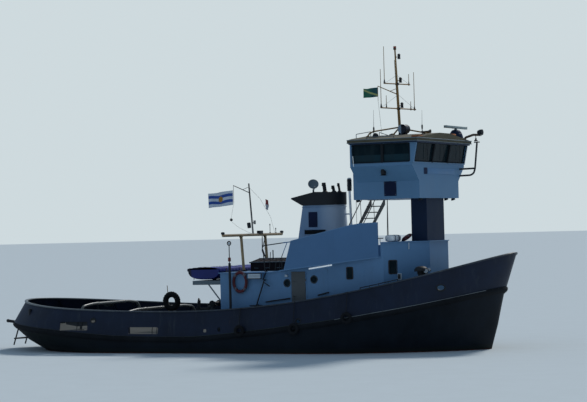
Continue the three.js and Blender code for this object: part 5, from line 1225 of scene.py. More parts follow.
block(shape, (8.421, -1.48, 6.63), (8.431, -1.17, 6.87))
add_piece("wall_boards", shape, board_paint)
repeat("board_screws", bolts, board_bolts, {"Radius": 0.008, "Height": 0.006}, lamp_metal)
shape = bmesh.new()
block(shape, (8.4205, -1.12, 6.64), (8.432, 1.55, 6.86), 0.003)
add_piece("front_board", shape, house_paint)
shape = bmesh.new()
for side in (-1, 1):
    turned(shape, (7.17, side * 2.44, 6.63), UP, [(0.05, 0.0), (0.075, 0.02), (0.075, 0.16), (0.05, 0.2),
        (0, 0.2)], 18)
    block(shape, (7.07, side * 2.38, 6.61), (7.27, side * 2.392, 6.84))
    block(shape, (7.07, side * 2.3, 6.6), (7.27, side * 2.52, 6.612))
for x, y in ((5.81, -1.75), (8.25, 1.03), (8.25, 1.75), (8.25, -1.5)):
    turned(shape, (x, y, 5.729), (0.3, 0, -1), [(0.03, -0.02), (0.07, 0.0), (0.085, 0.07), (0.07, 0.075),
        (0, 0.07)], 18)
add_piece("wall_side_lamps", shape, black_paint)
shape = bmesh.new()
for side in (-1, 1):
    for z, end, size in ((6.95, 8.42, 0.014), (7.05, 8.44, 0.012)):
        tube(shape, [(5.9, side * 2.581, z), (end, side * 2.581, z)], size)
tube(shape, [(8.435, -2.57, 7.05), (8.435, 2.57, 7.05)], 0.018)
add_piece("window_ledge", shape, wheelhouse_paint)
shape = bmesh.new()
for side in (-1, 1):
    tube(shape, [(6.05, side * 2.592, 6.97), (6.02, side * 2.592, 7.36)], 0.016)
tube(shape, [(8.484, 2.5, 7.1), (8.62, 2.5, 7.775)], 0.018)
add_piece("window_edge_bars", shape, white_paint)
finish_node("wheelhouse_glass", window_glass, 30)

# Window frames: black rubber gaskets pressed in round every pane, dark mullion covers between the
# panes, and one wiper on each front pane.
gasket = steel_paint("gasket", (0.012, 0.016, 0.02), rough=0.75, patch=0.2, streak=0.1, gloss=0.2, dent=0.1)
gasket_shape = bmesh.new()


def gasket_loop(corners, radius=0.016):
    points = [Vector(corner) for corner in corners]
    path = []
    for i, corner in enumerate(points):
        before, after = points[i - 1], points[(i + 1) % 4]
        for share in (0.06, 0.03):
            path.append(corner + (before - corner) * share)
        for share in (0.03, 0.06):
            path.append(corner + (after - corner) * share)
    tube(gasket_shape, path, radius, closed=True)


for side in (-1, 1):
    for x0, x1 in ((5.99, 7.18), (7.25, 8.33)):
        y = side * 2.582
        gasket_loop([(x0, y, 7.09), (x1, y, 7.09), (x1, y, 7.77), (x0, y, 7.77)])
lean = 0.16 / 0.79
for y0, y1 in ((-2.46, -0.8), (-0.73, 0.73), (0.8, 2.46)):
    low, high = 8.462 + 0.04 * lean, 8.462 + 0.72 * lean
    gasket_loop([(low, y0, 7.09), (low, y1, 7.09), (high, y1, 7.77), (high, y0, 7.77)])
    middle = (y0 + y1) / 2
    tube(gasket_shape, [(8.62, middle, 7.8), (8.6, middle + 0.1, 7.6), (8.56, middle + 0.22, 7.36)],
        0.006, 6)
    slab(gasket_shape, [(8.59, middle + 0.13, 7.57), (8.59, middle + 0.145, 7.57),
        (8.515, middle + 0.295, 7.15), (8.515, middle + 0.28, 7.15)], (0.012, 0, 0))
for y in (-0.765, 0.765):
    slab(gasket_shape, [(8.4, y - 0.045, 7.06), (8.4, y + 0.045, 7.06), (8.556, y + 0.045, 7.79),
        (8.556, y - 0.045, 7.79)], (0.084, 0, 0.0))
for side in (-1, 1):
    block(gasket_shape, (7.17, side * 2.52, 7.07), (7.26, side * 2.594, 7.79))
for y0, y1 in ((-1.83, -0.64), (-0.57, 0.86)):
    gasket_loop([(5.718, y0, 6.79), (5.718, y1, 6.79), (5.718, y1, 7.77), (5.718, y0, 7.77)])
add_piece("window_gaskets", gasket_shape, gasket, angle=50)

# Wheelhouse inside: a helm console with sloping panels, two chairs on pillars, a dark ceiling lining,
# a chart bench across the back and white blinds, all seen through the glass. The white panel behind
# each fore side pane is a painted reflection, standing for a reflection in that glass.
finish_node("helm_console", dark_trim, 30)
shape = bmesh.new()
block(shape, (5.8, -2.48, 7.8), (8.45, 2.48, 7.83), 0.004)
for y in (-0.65, 0.75):
    turned(shape, (7.35, y, 5.795), UP, [(0.22, 0.0), (0.22, 0.02), (0.05, 0.05), (0.05, 0.62)])
    block(shape, (7.1, y - 0.26, 6.41), (7.6, y + 0.26, 6.53), 0.04)
    block(shape, (7.05, y - 0.25, 6.5), (7.17, y + 0.25, 7.35), 0.04)
    for side in (-1, 1):
        block(shape, (7.15, y + side * 0.29 - 0.03, 6.68), (7.5, y + side * 0.29 + 0.03, 6.73), 0.015)
block(shape, (5.8, -1.82, 5.793), (6.25, 0.5, 6.72), 0.02)
for y in (-0.8, -0.3, 0.3, 0.8):
    block(shape, (8.02, y - 0.18, 6.98), (8.06, y + 0.18, 7.22), 0.01)
    tube(shape, [(8.05, y, 6.9), (8.05, y, 7.0)], 0.02)
add_piece("wheelhouse_fittings", shape, dark_inside)
shape = bmesh.new()
for side in (-1, 1):
    # White panel behind the fore side pane: a painted reflection in the glass.
    block(shape, (7.59, side * 2.49 - 0.012, 7.13), (7.88, side * 2.49 + 0.012, 7.6), 0.005)
    block(shape, (6.1, side * 2.3 - 0.012, 6.95), (7.3, side * 2.3 + 0.012, 7.3), 0.005)
add_piece("window_blinds_painted_reflection", shape, white_paint)

# Wheelhouse roof: a cambered lid in dull olive paint with a deep fascia, a navy visor under its edges,
# a rain strip, the small gear that stands on it, and a bent pipe guard at its front corner.
roof_paint = steel_paint("roof_paint", (0.085, 0.075, 0.045), rough=0.7, streak=0.4, rust=0.8,
    grime=(0.03, 0.03, 0.03), dent=0.6)
finish_node("wheelhouse_roof", roof_paint, 30)
shape = bmesh.new()
slab(shape, [(8.66, -2.66, 7.8405), (8.66, 2.66, 7.8405), (8.64, 2.64, 7.775), (8.64, -2.64, 7.775)],
    (0.015, 0, 0))
for side in (-1, 1):
    slab(shape, [(5.9, side * 2.66, 7.8405), (8.66, side * 2.66, 7.8405), (8.64, side * 2.64, 7.79),
        (5.92, side * 2.64, 7.79)], (0, -side * 0.015, 0))
add_piece("roof_visor", shape, navy_paint)
shape = bmesh.new()
rim_path = [(5.86, -2.732), (8.702, -2.732), (8.702, 2.732), (5.86, 2.732), (5.688, 2.0), (5.688, -2.0)]
for z, size in ((7.952, 0.015), (7.845, 0.012)):
    loop = []
    for (x0, y0), (x1, y1) in zip(rim_path, rim_path[1:] + rim_path[:1]):
        loop += [(x0 + (x1 - x0) * k / 8, y0 + (y1 - y0) * k / 8, z) for k in range(8)]
    tube(shape, loop, size, 6, closed=True)
add_piece("roof_trim", shape, grey_paint, angle=60)


def roof_z(y):
    return min(8.19, 8.19 + (abs(y) - 0.5) * (7.955 - 8.19) / (2.73 - 0.5))


shape = bmesh.new()
for x, y, top in ((6.29, -1.2, 9.14), (8.28, -1.2, 9.04)):
    base = roof_z(y)
    turned(shape, (x, y, base), UP, [(0.05, -0.01), (0.05, 0.01), (0.016, 0.02), (0.016, 0.2),
        (0.028, 0.22), (0.032, 0.34), (0.02, 0.37), (0.008, 0.39)], 14)
    tube(shape, [(x, y, base + 0.38), (x + 0.01, y, top)], 0.008, 6, end_radius=0.004)
turned(shape, (6.49, -1.5, roof_z(1.5)), UP, [(0.09, -0.02), (0.11, 0.0), (0.115, 0.05), (0.1, 0.11),
    (0.06, 0.15), (0, 0.165)])
turned(shape, (5.95, 1.3, roof_z(1.3)), UP, [(0.14, -0.02), (0.15, 0.02), (0.15, 0.12), (0.11, 0.2),
    (0, 0.24)])
add_piece("roof_aerials", shape, dark_trim)
shape = bmesh.new()
for shift, reach in ((0.0, 0.34), (0.11, 0.26)):
    turned(shape, (8.2, -1.0 + shift, 8.235), (1, 0, 0), [(0.02, -0.06), (0.03, 0.0), (0.022, 0.05),
        (0.028, reach * 0.6), (0.045, reach * 0.85), (0.075, reach), (0.066, reach), (0.03, reach * 0.8),
        (0, reach * 0.78)])
for y in (-1.0, -0.89):
    tube(shape, [(8.24, y, roof_z(y) - 0.01), (8.24, y, 8.24)], 0.018)
add_piece("roof_horns", shape, brown_trim)
orange_paint = steel_paint("orange_paint", (0.42, 0.13, 0.03), rough=0.55, patch=0.2, rust=0.4, dent=0.2)
shape = bmesh.new()
block(shape, (8.32, -2.35, 7.985), (8.62, -1.95, 8.06), 0.012)
block(shape, (8.3, 1.0, 8.115), (8.6, 1.4, 8.2), 0.012)
add_piece("roof_boxes", shape, orange_paint)
shape = bmesh.new()
for side in (-1, 1):
    tube(shape, bend([(5.8, side * 1.75, roof_z(1.75)), (5.8, side * 1.75, roof_z(1.75) + 0.16),
        (5.8, side * 0.4, 8.36), (5.8, side * 0.4, 8.19)], 0.05), 0.014)
    tube(shape, bend([(6.6, side * 2.55, roof_z(2.55)), (6.6, side * 2.55, roof_z(2.55) + 0.07),
        (7.7, side * 2.55, roof_z(2.55) + 0.07), (7.7, side * 2.55, roof_z(2.55))], 0.03), 0.012)
add_piece("roof_grabrails", shape, grey_paint)
finish_node("front_guard", bow_paint, 50)
shape = bmesh.new()
tube(shape, bend([(8.43, 2.1, 6.601), (8.88, 2.1, 6.61), (9.01, 2.1, 6.68), (9.07, 2.1, 6.85),
    (9.18, 2.1, 7.87)], 0.08), 0.036, 12)
tube(shape, [(8.43, 2.1, 6.86), (9.05, 2.1, 6.87)], 0.036, 12)
add_piece("front_guard_sleeve", shape, bow_paint, angle=60)

# Main mast: a raked pole of welded pipe on legs, with two yards, a gaff, lanterns on small brackets
# ahead of it, insulators under its whip aerials, taut stays, and a drum at its foot.
finish_node("main_mast", ochre_paint, 50)


def mast_x(z):
    return 6.86 - 0.13 * (z - 8.19) / 3.31


shape = bmesh.new()
for z in (9.32, 10.29, 11.2):
    turned(shape, (mast_x(z) + 0.15, 0, z - 0.075), UP, [(0.04, -0.01), (0.06, 0.0), (0.06, 0.03),
        (0.052, 0.04), (0.052, 0.13), (0.062, 0.14), (0.062, 0.16), (0.03, 0.2), (0, 0.205)])
for z, y, size in ((9.19, -1.64, 0.026), (9.19, -1.15, 0.02), (9.225, 1.56, 0.026), (9.215, 1.2, 0.02),
        (10.13, -1.2, 0.026), (10.18, 1.15, 0.02)):
    turned(shape, (mast_x(z), y, z + 0.02), UP, [(size, -0.04), (size * 1.3, -0.02), (size * 1.3, 0.03),
        (size, 0.06), (size * 0.7, 0.12), (0, 0.125)], 12)
turned(shape, (mast_x(11.62), 0, 11.5), UP, [(0.03, -0.02), (0.058, 0.0), (0.058, 0.05), (0.05, 0.06),
    (0.05, 0.12)])
for z in (9.215, 10.165):
    block(shape, (mast_x(z) - 0.055, -0.06, z - 0.045), (mast_x(z) + 0.055, 0.06, z + 0.045), 0.008)
turned(shape, (6.86, 0, 8.19), UP, [(0.12, -0.001), (0.12, 0.02), (0.07, 0.03), (0.06, 0.09)], 24)
add_piece("mast_lanterns", shape, black_paint)
red_glass = steel_paint("red_glass", (0.35, 0.02, 0.015), rough=0.15, patch=0.2, streak=0.1, gloss=0.6,
    dent=0.1)
shape = bmesh.new()
turned(shape, (mast_x(11.62), 0, 11.56), UP, [(0.056, 0.0), (0.058, 0.03), (0.045, 0.06), (0, 0.065)])
add_piece("mast_top_lamp", shape, red_glass)
wire = steel_paint("wire", (0.06, 0.06, 0.055), rough=0.6, streak=0.0, rust=0.3, seam=50.0, dent=0.0)
shape = bmesh.new()
tube(shape, [(5.968, 0, 9.57), (6.02, 0.02, 8.9), (6.08, 0.03, 8.19)], 0.005, 6)
for yard, y, z, head, top in ((10.165, -1.2, 10.13, 9.9, 10.5), (10.165, 1.2, 10.2, 9.9, 10.5),
        (9.215, -1.62, 9.19, 9.2, 9.75), (9.215, 1.62, 9.25, 9.2, 9.75)):
    tube(shape, [(mast_x(yard), y, z), (mast_x(head), 0, top)], 0.004, 6)
tube(shape, [(mast_x(z) - 0.06, 0.02, z) for z in (8.25, 9.0, 10.0, 11.1)], 0.01, 6)
add_piece("mast_stays", shape, wire)
drum_paint = steel_paint("drum_paint", (0.35, 0.45, 0.55), rough=0.35, patch=0.2, rust=0.2, dent=0.2)
repaint(drum_paint, 0, 7.115, (0.012, 0.016, 0.03), soft=0.01, wander=0.01, above=True)
shape = bmesh.new()
turned(shape, (7.165, -0.54, 8.4), (0, 1, 0), [(0, 0.03), (0.12, 0.028), (0.15, 0.012), (0.165, 0.0),
    (0.178, 0.008), (0.18, 0.03), (0.172, 0.04), (0.172, 0.36), (0.18, 0.37), (0.18, 0.4), (0.13, 0.428),
    (0, 0.43)], 36)
turned(shape, (7.165, -0.33, 8.191), UP, [(0.13, 0.0), (0.13, 0.02), (0.1, 0.03), (0.07, 0.08),
    (0.07, 0.11)], 24)
for y in (-0.5, -0.16):
    tube(shape, [(7.165, y, 8.21), (7.165, y, 8.24)], 0.02)
add_piece("mast_drum_shell", shape, drum_paint, replaces=["mast_drum"])

# Radar: a stepped cast pedestal bolted to the roof, and a long moulded scanner bar with end caps, on
# a turned collar, that turns on it.
shape = bmesh.new()
turned(shape, (8.37, 1.95, 0), UP, [(0.31, 8.012), (0.31, 8.05), (0.295, 8.06), (0.27, 8.15), (0.25, 8.2),
    (0.25, 8.225), (0.235, 8.235), (0.22, 8.28), (0.17, 8.35), (0.13, 8.385), (0.12, 8.3895), (0, 8.3895)],
    36)
add_piece("radar_base", shape, navy_paint, replaces=["radar_pedestal"])
scanner_paint = steel_paint("scanner_paint", (0.25, 0.31, 0.31), rough=0.4, patch=0.15, rust=0.1, dent=0.1)
shape = bmesh.new()
turned(shape, (8.37, 1.95, 8.39), UP, [(0.06, 0.0005), (0.06, 0.03), (0.045, 0.04), (0.045, 0.055)])
block(shape, (8.3, 0.87, 8.44), (8.44, 3.03, 8.535), 0.03)
block(shape, (8.29, 1.75, 8.44), (8.45, 2.15, 8.45), 0.004)
for y in (0.9, 2.98):
    block(shape, (8.297, y, 8.437), (8.443, y + 0.02, 8.538), 0.008)
add_piece("radar_bar", shape, scanner_paint, body="radar", replaces=["radar_scanner"])

# Searchlight: a drum lamp in a yoke at the end of a bent pipe arm over the roof's front edge, with a
# flood lamp hung below the arm.
shape = bmesh.new()
turned(shape, (9.17, 2.2, 8.262), (1, 0, 0), [(0, 0.0), (0.05, 0.002), (0.075, 0.02), (0.085, 0.06),
    (0.1, 0.07), (0.108, 0.12), (0.112, 0.18), (0.112, 0.21), (0.1, 0.218), (0.095, 0.2), (0, 0.205)], 28)
tube(shape, bend([(9.28, 2.07, 8.262), (9.28, 2.07, 8.13), (9.28, 2.33, 8.13), (9.28, 2.33, 8.262)],
    0.03), 0.012)
turned(shape, (9.1, 2.2, 7.985), (0, 0, -1), [(0.03, -0.06), (0.035, 0.0), (0.07, 0.03), (0.085, 0.06),
    (0.075, 0.062), (0, 0.05)])
tube(shape, [(9.1, 2.2, 8.19), (9.1, 2.2, 8.04)], 0.014)
add_piece("searchlight_lamps", shape, dark_trim)
shape = bmesh.new()
tube(shape, bend([(8.64, 2.2, 7.99), (8.66, 2.2, 8.08), (9.0, 2.2, 8.18), (9.28, 2.2, 8.16)],
    0.05), 0.046, 12)
turned(shape, (8.64, 2.2, 7.972), UP, [(0.09, 0.0), (0.09, 0.02), (0.06, 0.03), (0.045, 0.08)])
tube(shape, [(8.6, 2.2, 8.06), (8.45, 2.2, 7.99)], 0.018)
add_piece("searchlight_arm", shape, brown_trim, replaces=["searchlight"])

# Goalpost mast: two raked pipe posts under a long beam on the boat deck, with deck lamps, a topmast,
# a gaff with its halyard, a small black ball, and the davit post with its band and block.
goal_paint = steel_paint("goal_paint", (0.36, 0.25, 0.13), streak=0.4, rust=0.6, grime=(0.1, 0.075, 0.05))
# Above 4.52 m the beam's top and what stands on it are painted pale: a painted highlight for sunlight on
# top of the beam.
repaint(goal_paint, 2, 4.52, (0.3, 0.28, 0.25), soft=0.015, wander=0.05, above=True)
repaint(goal_paint, 2, 5.1, (0.07, 0.07, 0.065), soft=0.1, wander=0.2, above=True)
finish_node("goalpost_mast", goal_paint, 50)
shape = bmesh.new()
for side in (-1, 1):
    turned(shape, (0.46, side * 1.03, 3.081), UP, [(0.11, 0.0), (0.11, 0.015), (0.06, 0.02), (0.057, 0.06)])
    turned(shape, (0.37, side * 2.52, 4.55), UP, [(0.052, 0.0), (0.07, 0.01), (0.075, 0.06), (0.06, 0.09),
        (0, 0.1)], 18)
    for reach in (0.87, 1.19):
        slab(shape, [(0.365, side * 1.03, 4.46), (0.365, side * 1.03, 4.3), (0.365, side * reach, 4.46)],
            (0.01, 0, 0))
block(shape, (0.31, 0.42, 4.54), (0.43, 0.77, 4.67), 0.02)
for y, top in ((1.48, 4.93), (1.99, 4.76)):
    turned(shape, (0.37, y, 4.54), UP, [(0.03, 0.0), (0.03, 0.04), (0.012, 0.06), (0.012, top - 4.6),
        (0.02, top - 4.59), (0.02, top - 4.54), (0, top - 4.53)], 12)
turned(shape, (0.21, 0, 4.78), (-0.13, 0, 1), [(0.062, 0.0), (0.075, 0.02), (0.075, 0.2), (0.062, 0.22)],
    16)
for x, y, low, high in ((2.3, -2.4, 3.3, 3.84), (2.54, -2.4, 3.26, 3.57), (2.72, -2.4, 3.28, 3.62)):
    tube(shape, [(x, y, low - 0.12), (x + 0.06, y, high)], 0.014)
tube(shape, bend([(0.33, 1.1, 4.05), (0.33, 1.14, 3.95), (0.33, 1.1, 3.86), (0.33, 1.06, 3.95)],
    0.04), 0.012)
tube(shape, [(0.33, 1.1, 4.46), (0.33, 1.1, 4.05)], 0.006, 6)
tube(shape, [(1.75, -1.0, 3.5), (1.75, -1.0, 3.9)], 0.022, 10)
turned(shape, (1.75, -1.0, 3.5), UP, [(0.05, -0.01), (0.05, 0.02), (0.03, 0.03)], 12)
add_piece("goalpost_fittings", shape, dark_trim)
shape = bmesh.new()
for path in ([(-0.468, 0, 5.79), (-0.56, 0, 5.4), (-0.6, 0, 5.19)], [(-0.6, 0, 5.07), (-0.3, 0, 4.83),
        (0.1, 0, 4.64), (0.35, 0, 4.55)], [(0.245, 0, 6.4), (0.33, 0.75, 5.95), (0.4, 1.5, 5.2),
        (0.37, 1.9, 4.56)]):
    tube(shape, path, 0.004, 6)
tube(shape, [(0.36, 0.8, 4.5), (0.33, 0.83, 3.9), (0.38, 0.95, 3.62), (0.45, 1.06, 3.4)], 0.018)
tube(shape, [(0.4, 0.98, 4.4), (0.3, 0.9, 3.95), (0.36, 1.1, 3.55)], 0.014)
turned(shape, (-0.6, 0, 5.13), UP, [(0, -0.06), (0.03, -0.052), (0.052, -0.03), (0.06, 0.0), (0.052, 0.03),
    (0.03, 0.052), (0, 0.06)], 18)
add_piece("goalpost_lines", shape, wire)
shape = bmesh.new()
turned(shape, (0.695, -2.64, 3.51), UP, [(0.0515, 0.0), (0.056, 0.005), (0.056, 0.145), (0.0515, 0.15)])
red_band = steel_paint("red_band", (0.16, 0.035, 0.025), rough=0.55, patch=0.2, rust=0.2, dent=0.1)
add_piece("davit_band", shape, red_band)
finish_node("davit_post", black_paint, 50)
shape = bmesh.new()
turned(shape, (0.695, -2.64, 4.21), (0, 1, 0), [(0, -0.016), (0.03, -0.014), (0.045, 0.0), (0.03, 0.014),
    (0, 0.016)])
tube(shape, [(0.695, -2.64, 4.13), (0.695, -2.64, 4.18)], 0.01)
add_piece("davit_block", shape, pale_paint)

# Dinghy: a moulded boat that lies across a steel platform, blue all over, with a rubber gunwale, and
# held by two webbing straps. Its cover is a cloth sheet draped over the gunwales and lashed.
finish_node("dinghy_platform", grey_paint, 40)
blue_shell = steel_paint("blue_shell", (0.01, 0.02, 0.15), rough=0.35, patch=0.2, grime=(0.03, 0.035, 0.09),
    seam=30.0)
repaint(blue_shell, 0, -1.22, (0.008, 0.009, 0.02), soft=0.05, wander=0.05)
DINGHY_X = -0.655
# Place across, half width, keel, gunwale
DINGHY_ROWS = ((-2.3, 0.69, 2.85, 3.23), (-2.12, 0.7, 2.811, 3.23), (-1.2, 0.7, 2.8103, 3.215),
    (0.9, 0.7, 2.8103, 3.215), (1.35, 0.52, 2.87, 3.235), (1.56, 0.17, 3.01, 3.255))


def dinghy_row(y):
    """The place, half width, keel and gunwale of the dinghy, eased in where its bow begins."""
    for low, high in zip(DINGHY_ROWS, DINGHY_ROWS[1:]):
        if y <= high[0]:
            t = (y - low[0]) / (high[0] - low[0])
            t = t * t * (3 - 2 * t) if high[0] > 1 else t
            return [a + (b - a) * t for a, b in zip(low, high)]
    return list(DINGHY_ROWS[-1])


def squarish(share):
    """A sine or cosine drawn out, so that a round section gets fuller corners."""
    return copysign(abs(share) ** 0.55, share)


shape = bmesh.new()
rings = []
for number in range(33):
    y, half, keel, gunwale = dinghy_row(-2.3 + 3.86 * number / 32)
    ring = []
    for k in range(21):
        a = pi * k / 20
        ring.append((DINGHY_X + half * squarish(cos(a)), y, gunwale - (gunwale - keel) * sin(a) ** 0.75))
    for k in range(1, 10):
        ring.append((DINGHY_X + half * 0.96 * (k / 5 - 1), y, gunwale - 0.03))
    rings.append(ring)
rows = skin(shape, rings)
shape.faces.new(rows[0])
shape.faces.new(rows[-1])
add_piece("dinghy_hull", shape, blue_shell, replaces=["dinghy"], angle=60)
shape = bmesh.new()
for side in (-1, 1):
    points = []
    for number in range(33):
        y, half, keel, gunwale = dinghy_row(-2.3 + 3.86 * number / 32)
        points.append((DINGHY_X + side * half, y, gunwale - 0.012))
    tube(shape, points, 0.02, 10)
add_piece("dinghy_gunwale", shape, gasket, angle=60)


def cloth_paint(name, colour_of, weave=420.0):
    """Woven cloth: the colour comes from the sheet's own map, with weave, folds and dirt over it."""
    material = bpy.data.materials.new(name)
    tree = tree_of(material)
    sheet_map = put(tree, "ShaderNodeUVMap", uv_map="UVMap").outputs["UV"]
    dirt = noise(tree, sheet_map, 3.0, 6.0)
    colour = mixed(tree, band(tree, dirt, 0.45, 0.8, 0.0, 0.35),
        colour_of(tree, sheet_map), rgba((0.09, 0.09, 0.085)))
    warp = put(tree, "ShaderNodeTexWave", {"Vector": sheet_map, "Scale": weave, "Distortion": 0.3},
        bands_direction="X")
    weft = put(tree, "ShaderNodeTexWave", {"Vector": sheet_map, "Scale": weave, "Distortion": 0.3},
        bands_direction="Y")
    threads = maths(tree, "MULTIPLY", warp.outputs["Fac"], weft.outputs["Fac"])
    creases = noise(tree, sheet_map, 9.0, 4.0)
    height = maths(tree, "ADD", maths(tree, "MULTIPLY", threads, 0.15), creases)
    bump = put(tree, "ShaderNodeBump", {"Strength": 0.4, "Distance": 0.006, "Height": height})
    shader = put(tree, "ShaderNodeBsdfPrincipled", {"Base Color": colour, "Normal": bump.outputs[0],
        "Roughness": band(tree, dirt, 0.2, 0.8, 0.75, 0.9), "Sheen Weight": 0.2, "Specular IOR Level": 0.2})
    put(tree, "ShaderNodeOutputMaterial", {"Surface": shader.outputs[0]})
    return material


def sheet_piece(name, columns, rows, place, material):
    """A sheet on a grid: place gives the point for each share of its width and length."""
    shape = bmesh.new()
    grid = [[shape.verts.new(place(i / columns, j / rows)) for j in range(rows + 1)]
        for i in range(columns + 1)]
    layer = shape.loops.layers.uv.new("UVMap")
    for i in range(columns):
        for j in range(rows):
            face = shape.faces.new((grid[i][j], grid[i + 1][j], grid[i + 1][j + 1], grid[i][j + 1]))
            for loop, (u, v) in zip(face.loops, ((i, j), (i + 1, j), (i + 1, j + 1), (i, j + 1))):
                loop[layer].uv = (u / columns, v / rows)
            face.smooth = True
    piece = as_object(name, shape, material)
    body = piece.modifiers.new("cloth_thickness", "SOLIDIFY")
    body.thickness = 0.003
    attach(piece, "boat")
    return piece


def plain_blue(tree, where):
    worn = noise(tree, where, 5.0, 5.0)
    return mixed(tree, band(tree, worn, 0.3, 0.7), rgba((0.006, 0.014, 0.19)), rgba((0.016, 0.03, 0.28)))


def cover_place(u, v):
    """Across the boat u, and along it v: crowned between the gunwales, with a short skirt each side."""
    y, half, keel, gunwale = dinghy_row(-2.31 + 3.87 * v)
    across = (u - 0.5) * 2
    ridge = 0.055 + 0.012 * cos(v * 2 * pi * 4.5)
    if abs(across) < 0.86:
        share = across / 0.86
        x = share * (half + 0.022)
        z = gunwale + 0.012 + ridge * (1 - share * share) * 0.85
        z += 0.006 * sin(v * 61 + across * 5) * (1 - abs(share)) + 0.005 * sin(across * 23 + v * 17)
    else:
        drop = (abs(across) - 0.86) / 0.14
        ripple = sin(v * 88) * 0.008 * drop
        x = copysign(half + 0.024 + 0.006 * drop + ripple, across)
        z = gunwale + 0.012 - 0.1 * drop
    return (DINGHY_X + x, y, z)


cover = sheet_piece("dinghy_canvas", 56, 120, cover_place, cloth_paint("cover_cloth", plain_blue, 900.0))
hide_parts("dinghy_cover")


def webbing(shape, path, half, thick):
    """A flat strap laid along a path across the boat's length."""
    for (x0, y, z0), (x1, y, z1) in zip(path, path[1:]):
        if abs(x1 - x0) + abs(z1 - z0) > 1e-5:
            slab(shape, [(x0, y - half, z0), (x1, y - half, z1), (x1, y + half, z1), (x0, y + half, z0)],
                Vector((x1 - x0, 0, z1 - z0)).cross(Vector((0, 1, 0))).normalized() * thick)


shape = bmesh.new()
for y in (-1.75, -0.6, 0.55):
    at, half, keel, gunwale = dinghy_row(y)
    path = [(DINGHY_X - half - 0.04, y, 2.8)]
    for k in range(13):
        share = -1 + 2 * k / 12
        path.append((DINGHY_X + share * (half + 0.034), y, gunwale + 0.024 + 0.072 * (1 - share * share)))
    path.append((DINGHY_X + half + 0.04, y, 2.8))
    webbing(shape, path, 0.025, -0.003)
add_piece("dinghy_straps", shape, gasket, angle=60)

# Flags: sewn bunting on halyards, blown aft in soft folds. The ensign is striped blue and white with a
# plain gold disc, and the small one is green with a pale slanted band.
def flag_place(left, top, wide, tall, fall, fold, pitch):
    steps = 60
    xs = [0.0]
    for k in range(steps):
        s0, s1 = wide * k / steps, wide * (k + 1) / steps
        dy = fold * (sin(s1 / pitch * 2 * pi) * (s1 / wide) ** 0.7
            - sin(s0 / pitch * 2 * pi) * (s0 / wide) ** 0.7)
        xs.append(xs[-1] + sqrt(max(0.0, (s1 - s0) ** 2 - dy ** 2 - (fall / steps) ** 2)))

    def place(u, v):
        at = u * steps
        k = min(int(at), steps - 1)
        x = xs[k] + (xs[k + 1] - xs[k]) * (at - k)
        s = u * wide
        y = fold * sin((s + 0.1 * v * tall) / pitch * 2 * pi) * u ** 0.7
        z = top - fall * u - tall * v + 0.014 * sin(u * 7 + v * 2) * u
        return (left - x, y, z)
    return place


def ensign_colours(tree, where):
    split = put(tree, "ShaderNodeSeparateXYZ", {0: where})
    curve = maths(tree, "MULTIPLY", maths(tree, "SINE", maths(tree, "MULTIPLY", split.outputs[0], 9.0)),
        0.025)
    across = maths(tree, "ADD", split.outputs[1], curve)
    stripe = maths(tree, "PINGPONG", maths(tree, "ADD", across, 0.1), 0.2)
    share = band(tree, stripe, 0.095, 0.105)
    field = mixed(tree, share, rgba((0.03, 0.09, 0.36)), rgba((0.62, 0.68, 0.75)))
    dx = maths(tree, "SUBTRACT", split.outputs[0], 0.5)
    dy = maths(tree, "MULTIPLY", maths(tree, "SUBTRACT", split.outputs[1], 0.5), 0.52)
    reach = maths(tree, "SQRT", maths(tree, "ADD", maths(tree, "MULTIPLY", dx, dx),
        maths(tree, "MULTIPLY", dy, dy)))
    return mixed(tree, band(tree, reach, 0.095, 0.11), rgba((0.4, 0.2, 0.03)), field)


def green_colours(tree, where):
    split = put(tree, "ShaderNodeSeparateXYZ", {0: where})
    slant = maths(tree, "ADD", maths(tree, "MULTIPLY", split.outputs[0], 0.7), split.outputs[1])
    near = maths(tree, "ABSOLUTE", maths(tree, "SUBTRACT", slant, 0.85))
    cloth = mixed(tree, band(tree, split.outputs[0], 0.35, 0.6), rgba((0.02, 0.09, 0.1)),
        rgba((0.03, 0.16, 0.1)))
    return mixed(tree, band(tree, near, 0.08, 0.11), rgba((0.4, 0.42, 0.16)), cloth)


def red_colours(tree, where):
    split = put(tree, "ShaderNodeSeparateXYZ", {0: where})
    return mixed(tree, band(tree, split.outputs[1], 0.45, 0.5), rgba((0.3, 0.04, 0.04)),
        rgba((0.5, 0.52, 0.55)))


ensign = sheet_piece("ensign", 60, 26, flag_place(-0.5, 6.31, 1.14, 0.58, 0.11, 0.05, 0.62),
    cloth_paint("ensign_cloth", ensign_colours))
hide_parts("flag_aft")
small_flag = sheet_piece("green_flag", 44, 22, flag_place(5.96, 10.08, 0.62, 0.36, 0.03, 0.035, 0.4),
    cloth_paint("green_cloth", green_colours))
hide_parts("flag_main")


def pennant_place(u, v):
    x = 0.43 + 0.13 * u + 0.02 * sin(v * 9 + u * 3) * v
    return (x, 1.02 + 0.02 * sin(u * 6 + v * 4), 5.93 - 0.4 * v - 0.05 * u)


pennant = sheet_piece("pennant", 12, 30, pennant_place, cloth_paint("pennant_cloth", red_colours))

# Lifebuoys and raft: foam rings in faded red with four grey bands and a grab line, one on the side
# wall's brackets and one on the fore roof, a moulded raft case under two straps, and the anchor's hanger.
buoy_red = steel_paint("buoy_red", (0.1, 0.024, 0.03), rough=0.6, grime=(0.1, 0.06, 0.065), seam=30.0,
    gloss=0.2, dent=0.2)
band_grey = steel_paint("band_grey", (0.11, 0.1, 0.12), patch=0.2, streak=0.2, seam=30.0, dent=0.1)


